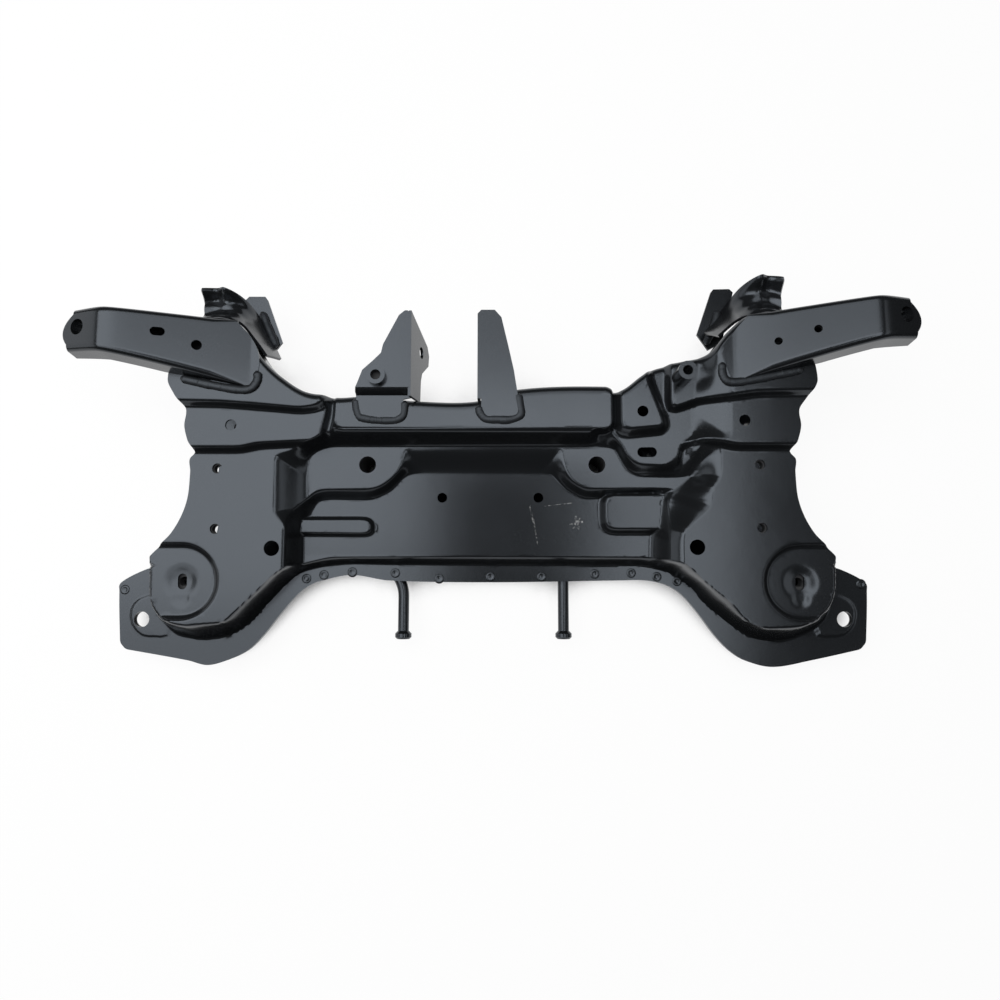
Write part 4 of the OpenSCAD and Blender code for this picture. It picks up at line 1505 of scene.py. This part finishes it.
@dataclass
class WeldSeams:
    """Seam welds: beads that follow the edges of the arms, the ears and the bracket plates."""

    radius: float = 3.6
    wide: float = 1.15
    high: float = 0.75
    sides: int = 14
    step: float = 0.7
    ripple: float = 0.1
    ripple_length: float = 2.4
    uneven: float = 0.12
    end_length: float = 3.0
    seed: int = 20
    paths: dict[str, tuple[tuple[float, float, float], ...]] = field(default_factory=lambda: {
        "left_arm_weld": (
            (-242, 97, 111.5), (-241.5, 88, 111.5), (-247, 79.5, 111.5), (-257, 77.5, 111.5),
            (-286.5, 82, 111.5), (-320, 89.5, 111.5)),
        "right_arm_weld": (
            (236, 106, 111.5), (236, 94, 111.5), (240, 87, 111.5), (250, 85.5, 111.5),
            (269, 88.5, 111.5), (318, 98.5, 111.5)),
        "left_plate_weld": (
            (-259.7, 182.7, 47), (-254.8, 171.1, 48), (-248.8, 157.3, 49), (-241.6, 141.2, 49)),
        "right_plate_weld": (
            (252.2, 183.8, 47), (248.5, 171.1, 48), (242.5, 157.3, 49), (236.5, 144.6, 49)),
        "left_ear_weld": (
            (-142.7, 71.2, 98), (-141, 59.1, 98), (-136.4, 51.5, 98), (-103.6, 48.7, 98),
            (-94, 53, 98), (-92, 63.7, 98), (-92, 69, 98)),
        "right_ear_weld": (
            (-14, 64.4, 98), (-13, 57, 98), (-7.3, 50.5, 98), (4.4, 49.6, 98), (18, 49.6, 98),
            (28.5, 54.5, 98), (28, 66, 98), (26, 77, 98))})

    def build(self) -> list[bpy.types.Object]:
        """One rippled bead for each path.

        Returns:
            The beads.
        """
        done = []
        for number, (name, path) in enumerate(self.paths.items()):
            done.append(self.bead(name, np.asarray(path, float), np.random.default_rng(self.seed + number)))
        return done

    def bead(self, name: str, path: np.ndarray, rng: np.random.Generator) -> bpy.types.Object:
        """One bead along a path.

        Args:
            name: Name of the piece.
            path: Points on the surface, in millimetres.
            rng: Source of the bead's ripple.

        Returns:
            The bead as an object.
        """
        length = np.concatenate([[0], np.cumsum(np.linalg.norm(np.diff(path, axis=0), axis=1))])
        count = max(24, int(length[-1] / self.step))
        s = np.linspace(0, length[-1], count)
        line = np.stack([curve(tuple(zip(length, path[:, k])), s) for k in range(3)], axis=-1)
        along = np.gradient(line, axis=0)
        along /= np.linalg.norm(along, axis=1, keepdims=True)
        side = np.cross(along, [0, 0, 1])
        side /= np.linalg.norm(side, axis=1, keepdims=True)
        up = np.cross(side, along)
        uneven = np.convolve(rng.normal(0, self.uneven, count), np.ones(9) / 9, "same")
        ripple = 1 + self.ripple * np.abs(np.sin(s * math.pi / self.ripple_length)) + uneven
        taper = np.clip(np.minimum(s, length[-1] - s) / self.end_length, 0.15, 1.0) ** 0.5
        size = self.radius * ripple * taper
        n = self.sides
        ring = []
        for a in np.radians(np.linspace(0, 360, n + 1)[:-1]):
            wide, high = size * self.wide * math.cos(a), size * self.high * math.sin(a)
            ring.append(line + side * wide[:, None] + up * high[:, None])
        verts = np.stack(ring, axis=1).reshape(-1, 3)
        faces = [(i * n + j, i * n + (j + 1) % n, (i + 1) * n + (j + 1) % n, (i + 1) * n + j)
                 for i in range(count - 1) for j in range(n)]
        faces += [tuple(range(n))[::-1], tuple((count - 1) * n + j for j in range(n))]
        return new_object(name, verts, faces)


@dataclass
class SpotWelds:
    """Spot welds of the rear flange: shallow rings pressed into the sheet."""

    level: float = 38.0
    sharp: float = 60.0
    steps: int = 28
    profile: Line = ((0.0, 0.12), (1.6, 0.1), (2.6, 0.35), (3.4, 0.62), (4.3, 0.5), (5.2, 0.05), (5.6, -0.4))
    marks: Line = (
        (-204, -115), (-185, -111), (-154, -108), (-59, -115), (-3, -113), (53, -113), (151, -109),
        (179, -113), (201, -118), (-107, -109), (111, -110), (-402, -127), (402, -121))

    def build(self) -> bpy.types.Object:
        """All marks as one piece.

        Returns:
            The piece.
        """
        profile, steps = self.profile, self.steps
        verts, faces = [], []
        for x, y in self.marks:
            base = len(verts)
            verts.append((x, y, self.level + profile[0][1]))
            for r, h in profile[1:]:
                for k in range(steps):
                    a = 2 * math.pi * k / steps
                    verts.append((x + r * math.cos(a), y + r * math.sin(a), self.level + h))
            for k in range(steps):
                j = (k + 1) % steps
                faces.append((base, base + 1 + k, base + 1 + j))
                for ring in range(len(profile) - 2):
                    a = base + 1 + ring * steps
                    faces.append((a + k, a + steps + k, a + steps + j, a + j))
        return new_object("spot_welds", np.array(verts), faces, self.sharp)


@dataclass(frozen=True)
class Lamp:
    """Soft panel.

    Args:
        name: Its name.
        centre: Place of its middle, in metres.
        size: Width and length.
        brightness: How bright its face is.
        height: How high it hangs.
        turn: Tilt about the car's length, in degrees; 0 faces down.
    """

    name: str
    centre: tuple[float, float]
    size: tuple[float, float]
    brightness: float
    height: float = 1.75
    turn: float = 0.0


@dataclass
class Studio:
    """Camera, floor and lights."""

    target: tuple[float, float, float] = (7.5, -33.0, 80.0)
    distance: float = 800.0
    elevation: float = 84.0
    lens: float = 27.43
    sensor: float = 36.0
    nearest: float = 0.01
    floor_half: float = 6.0
    floor_drop: float = 0.0005
    sky: Color = (0.9, 0.95, 1.0)
    sky_strength: float = 0.04
    lamps: tuple[Lamp, ...] = (
        Lamp("left_panel", (-1.07, 0.4), (1.7, 1.2), 3.8),
        Lamp("left_rear_panel", (-1.07, -0.55), (1.7, 0.7), 2.5),
        Lamp("front_panel", (0.03, 0.38), (0.95, 0.28), 4.3),
        Lamp("far_panel", (0.05, 0.92), (1.0, 0.8), 2.0),
        Lamp("right_panel", (0.55, 0.04), (0.47, 1.05), 3.5),
        Lamp("outer_panel", (2.05, 0.1), (1.2, 1.6), 1.1),
        Lamp("left_side", (-2.5, 0.2), (1.4, 2.2), 1.2, 0.9, -90.0))

    def build(self, floor_finish: FloorFinish) -> None:
        """Make the camera, the floor and the lights.

        Args:
            floor_finish: Finish of the floor.
        """
        scene = bpy.context.scene
        scene.view_settings.view_transform = "Standard"
        e = math.radians(self.elevation)
        camera = bpy.data.objects.new("camera", bpy.data.cameras.new("camera"))
        camera.data.lens = self.lens
        camera.data.sensor_width = self.sensor
        target = Vector(self.target) * MM
        camera.location = target + Vector((0, -math.cos(e), math.sin(e))) * self.distance * MM
        camera.rotation_euler = (target - camera.location).to_track_quat("-Z", "Y").to_euler()
        camera.data.clip_start = self.nearest
        scene.collection.objects.link(camera)
        scene.camera = camera
        size = self.floor_half
        mesh = bpy.data.meshes.new("floor")
        corners = [(-size, -size, 0), (size, -size, 0), (size, size, 0), (-size, size, 0)]
        mesh.from_pydata(corners, [], [(0, 1, 2, 3)])
        floor = bpy.data.objects.new("floor", mesh)
        floor.location.z = -self.floor_drop
        mesh.materials.append(floor_finish.material())
        scene.collection.objects.link(floor)
        for lamp in self.lamps:
            self.hang(lamp)
        world = bpy.data.worlds.new("studio")
        world.use_nodes = True
        sky = world.node_tree.nodes["Background"]
        sky.inputs["Color"].default_value = (*self.sky, 1)
        sky.inputs["Strength"].default_value = self.sky_strength
        scene.world = world

    def hang(self, lamp: Lamp) -> None:
        """Hang one soft lamp.

        Args:
            lamp: Its place, size and brightness.
        """
        data = bpy.data.lights.new(lamp.name, "AREA")
        data.shape = "RECTANGLE"
        data.size, data.size_y = lamp.size
        data.energy = lamp.brightness * lamp.size[0] * lamp.size[1] * math.pi
        obj = bpy.data.objects.new(lamp.name, data)
        obj.location = (*lamp.centre, lamp.height)
        obj.rotation_euler = (0.0, math.radians(lamp.turn), 0.0)
        bpy.context.scene.collection.objects.link(obj)


@dataclass
class Solids:
    """Solids that keep their own shape and only get a finish."""

    collar: str = "roll_ear_collar"
    shade_disc_radius: float = 6.5
    shade_disc_drops: tuple[float, float] = (2.0, 3.5)
    edge_width: float = 0.6
    edge_angle: float = 40.0
    painted: tuple[str, ...] = (
        "left_arm_plate", "right_arm_plate", "left_bracket_plate", "right_bracket_plate",
        "left_roll_ear", "right_roll_ear", "roll_ear_collar", "threaded_boss", "left_hanger_rod",
        "right_hanger_rod")
    plain: tuple[str, ...] = (
        "roll_ear_nut", "left_gear_nuts", "right_gear_nuts", "left_bush_nut", "right_bush_nut",
        "pad_sleeves", "right_arm_nuts")

    def finish(self, paint: bpy.types.Material, steel: bpy.types.Material) -> None:
        """Give every solid its material and softened edges.

        Args:
            paint: Material of painted pieces.
            steel: Material of plain steel pieces.
        """
        for names, material in ((self.painted, paint), (self.plain, steel)):
            for name in names:
                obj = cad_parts[name]
                obj.data.materials.clear()
                obj.data.materials.append(material)
                edge = obj.modifiers.new("edges", "BEVEL")
                edge.width = self.edge_width * MM
                edge.segments = 2
                edge.limit_method = "ANGLE"
                edge.angle_limit = math.radians(self.edge_angle)
                edge.harden_normals = False
                LOG.info("%s keeps its solid", name)

    def shade_disc(self) -> bpy.types.Object:
        """Dark disc just below the bore of the collar on the left ear: painted shade that stands in for the
        dark under the hole.

        Returns:
            The piece.
        """
        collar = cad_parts[self.collar]
        box = np.array([tuple(collar.matrix_world @ Vector(c)) for c in collar.bound_box]) / MM
        x, y = box[:, :2].mean(axis=0)
        low, steps, radius = box[:, 2].min(), 28, self.shade_disc_radius
        verts = [(x + radius * math.cos(t), y + radius * math.sin(t), low - drop)
                 for drop in self.shade_disc_drops for t in 2 * np.pi * np.arange(steps) / steps]
        sides = [(k, steps + k, steps + (k + 1) % steps, (k + 1) % steps) for k in range(steps)]
        return new_object("collar_shade_disc", np.array(verts),
                          [tuple(range(steps)), tuple(range(2 * steps - 1, steps - 1, -1)), *sides])


def main() -> None:
    """Build every piece in order."""
    logging.basicConfig(level=logging.INFO, format="%(message)s")
    upper = UpperShell()
    scratches = (
        Scratch((39.9, -35.9, 56.0), (43.5, -54.0, 54.0), 1.1),
        Scratch((43.8, -52.0, 56.0), (48.3, -79.1, 54.0), 0.8),
        Scratch((56.1, -37.0, 56.0), (85.3, -33.7, 56.0), 0.5),
        Scratch((84.0, -57.0, 55.0), (96.0, -54.0, 55.0), 1.5),
        Scratch((89.0, -49.0, 55.0), (92.5, -61.0, 55.0), 1.5),
        Scratch((86.0, -62.0, 55.0), (94.0, -50.0, 55.0), 0.9))
    shell_paint = PaintFinish("shell_paint", scratches=scratches).material()
    paint = PaintFinish("arm_paint").material()
    weld_paint = PaintFinish("weld_paint", roughness=0.34, haze=0.3, ripple=0.0006).material()
    steel = SteelFinish("nut_steel").material()
    dress(upper.build(), shell_paint, Slot.PAINT, "upper_panel")
    dress(LowerShell(upper).build(), paint, Slot.PAINT, "lower_panel")
    for side in Side:
        name = side.name.lower()
        arm = Arm(side)
        dress(arm.build(), paint, Slot.PAINT, f"{name}_arm")
        dress(arm.closing(), paint, Slot.PAINT)
        dress(arm.sleeve(), paint, Slot.PAINT)
        dress(BushBracket(side, upper).build(), paint, Slot.PAINT, f"{name}_bush_bracket")
    for bead in WeldSeams().build():
        dress(bead, weld_paint, Slot.PAINT)
    dress(SpotWelds().build(), paint, Slot.PAINT)
    solids = Solids()
    solids.finish(paint, steel)
    # Dark disc under the collar's bore: painted shade
    dress(solids.shade_disc(), steel, Slot.STEEL)
    Studio().build(FloorFinish())


if __name__ == "__main__":
    main()
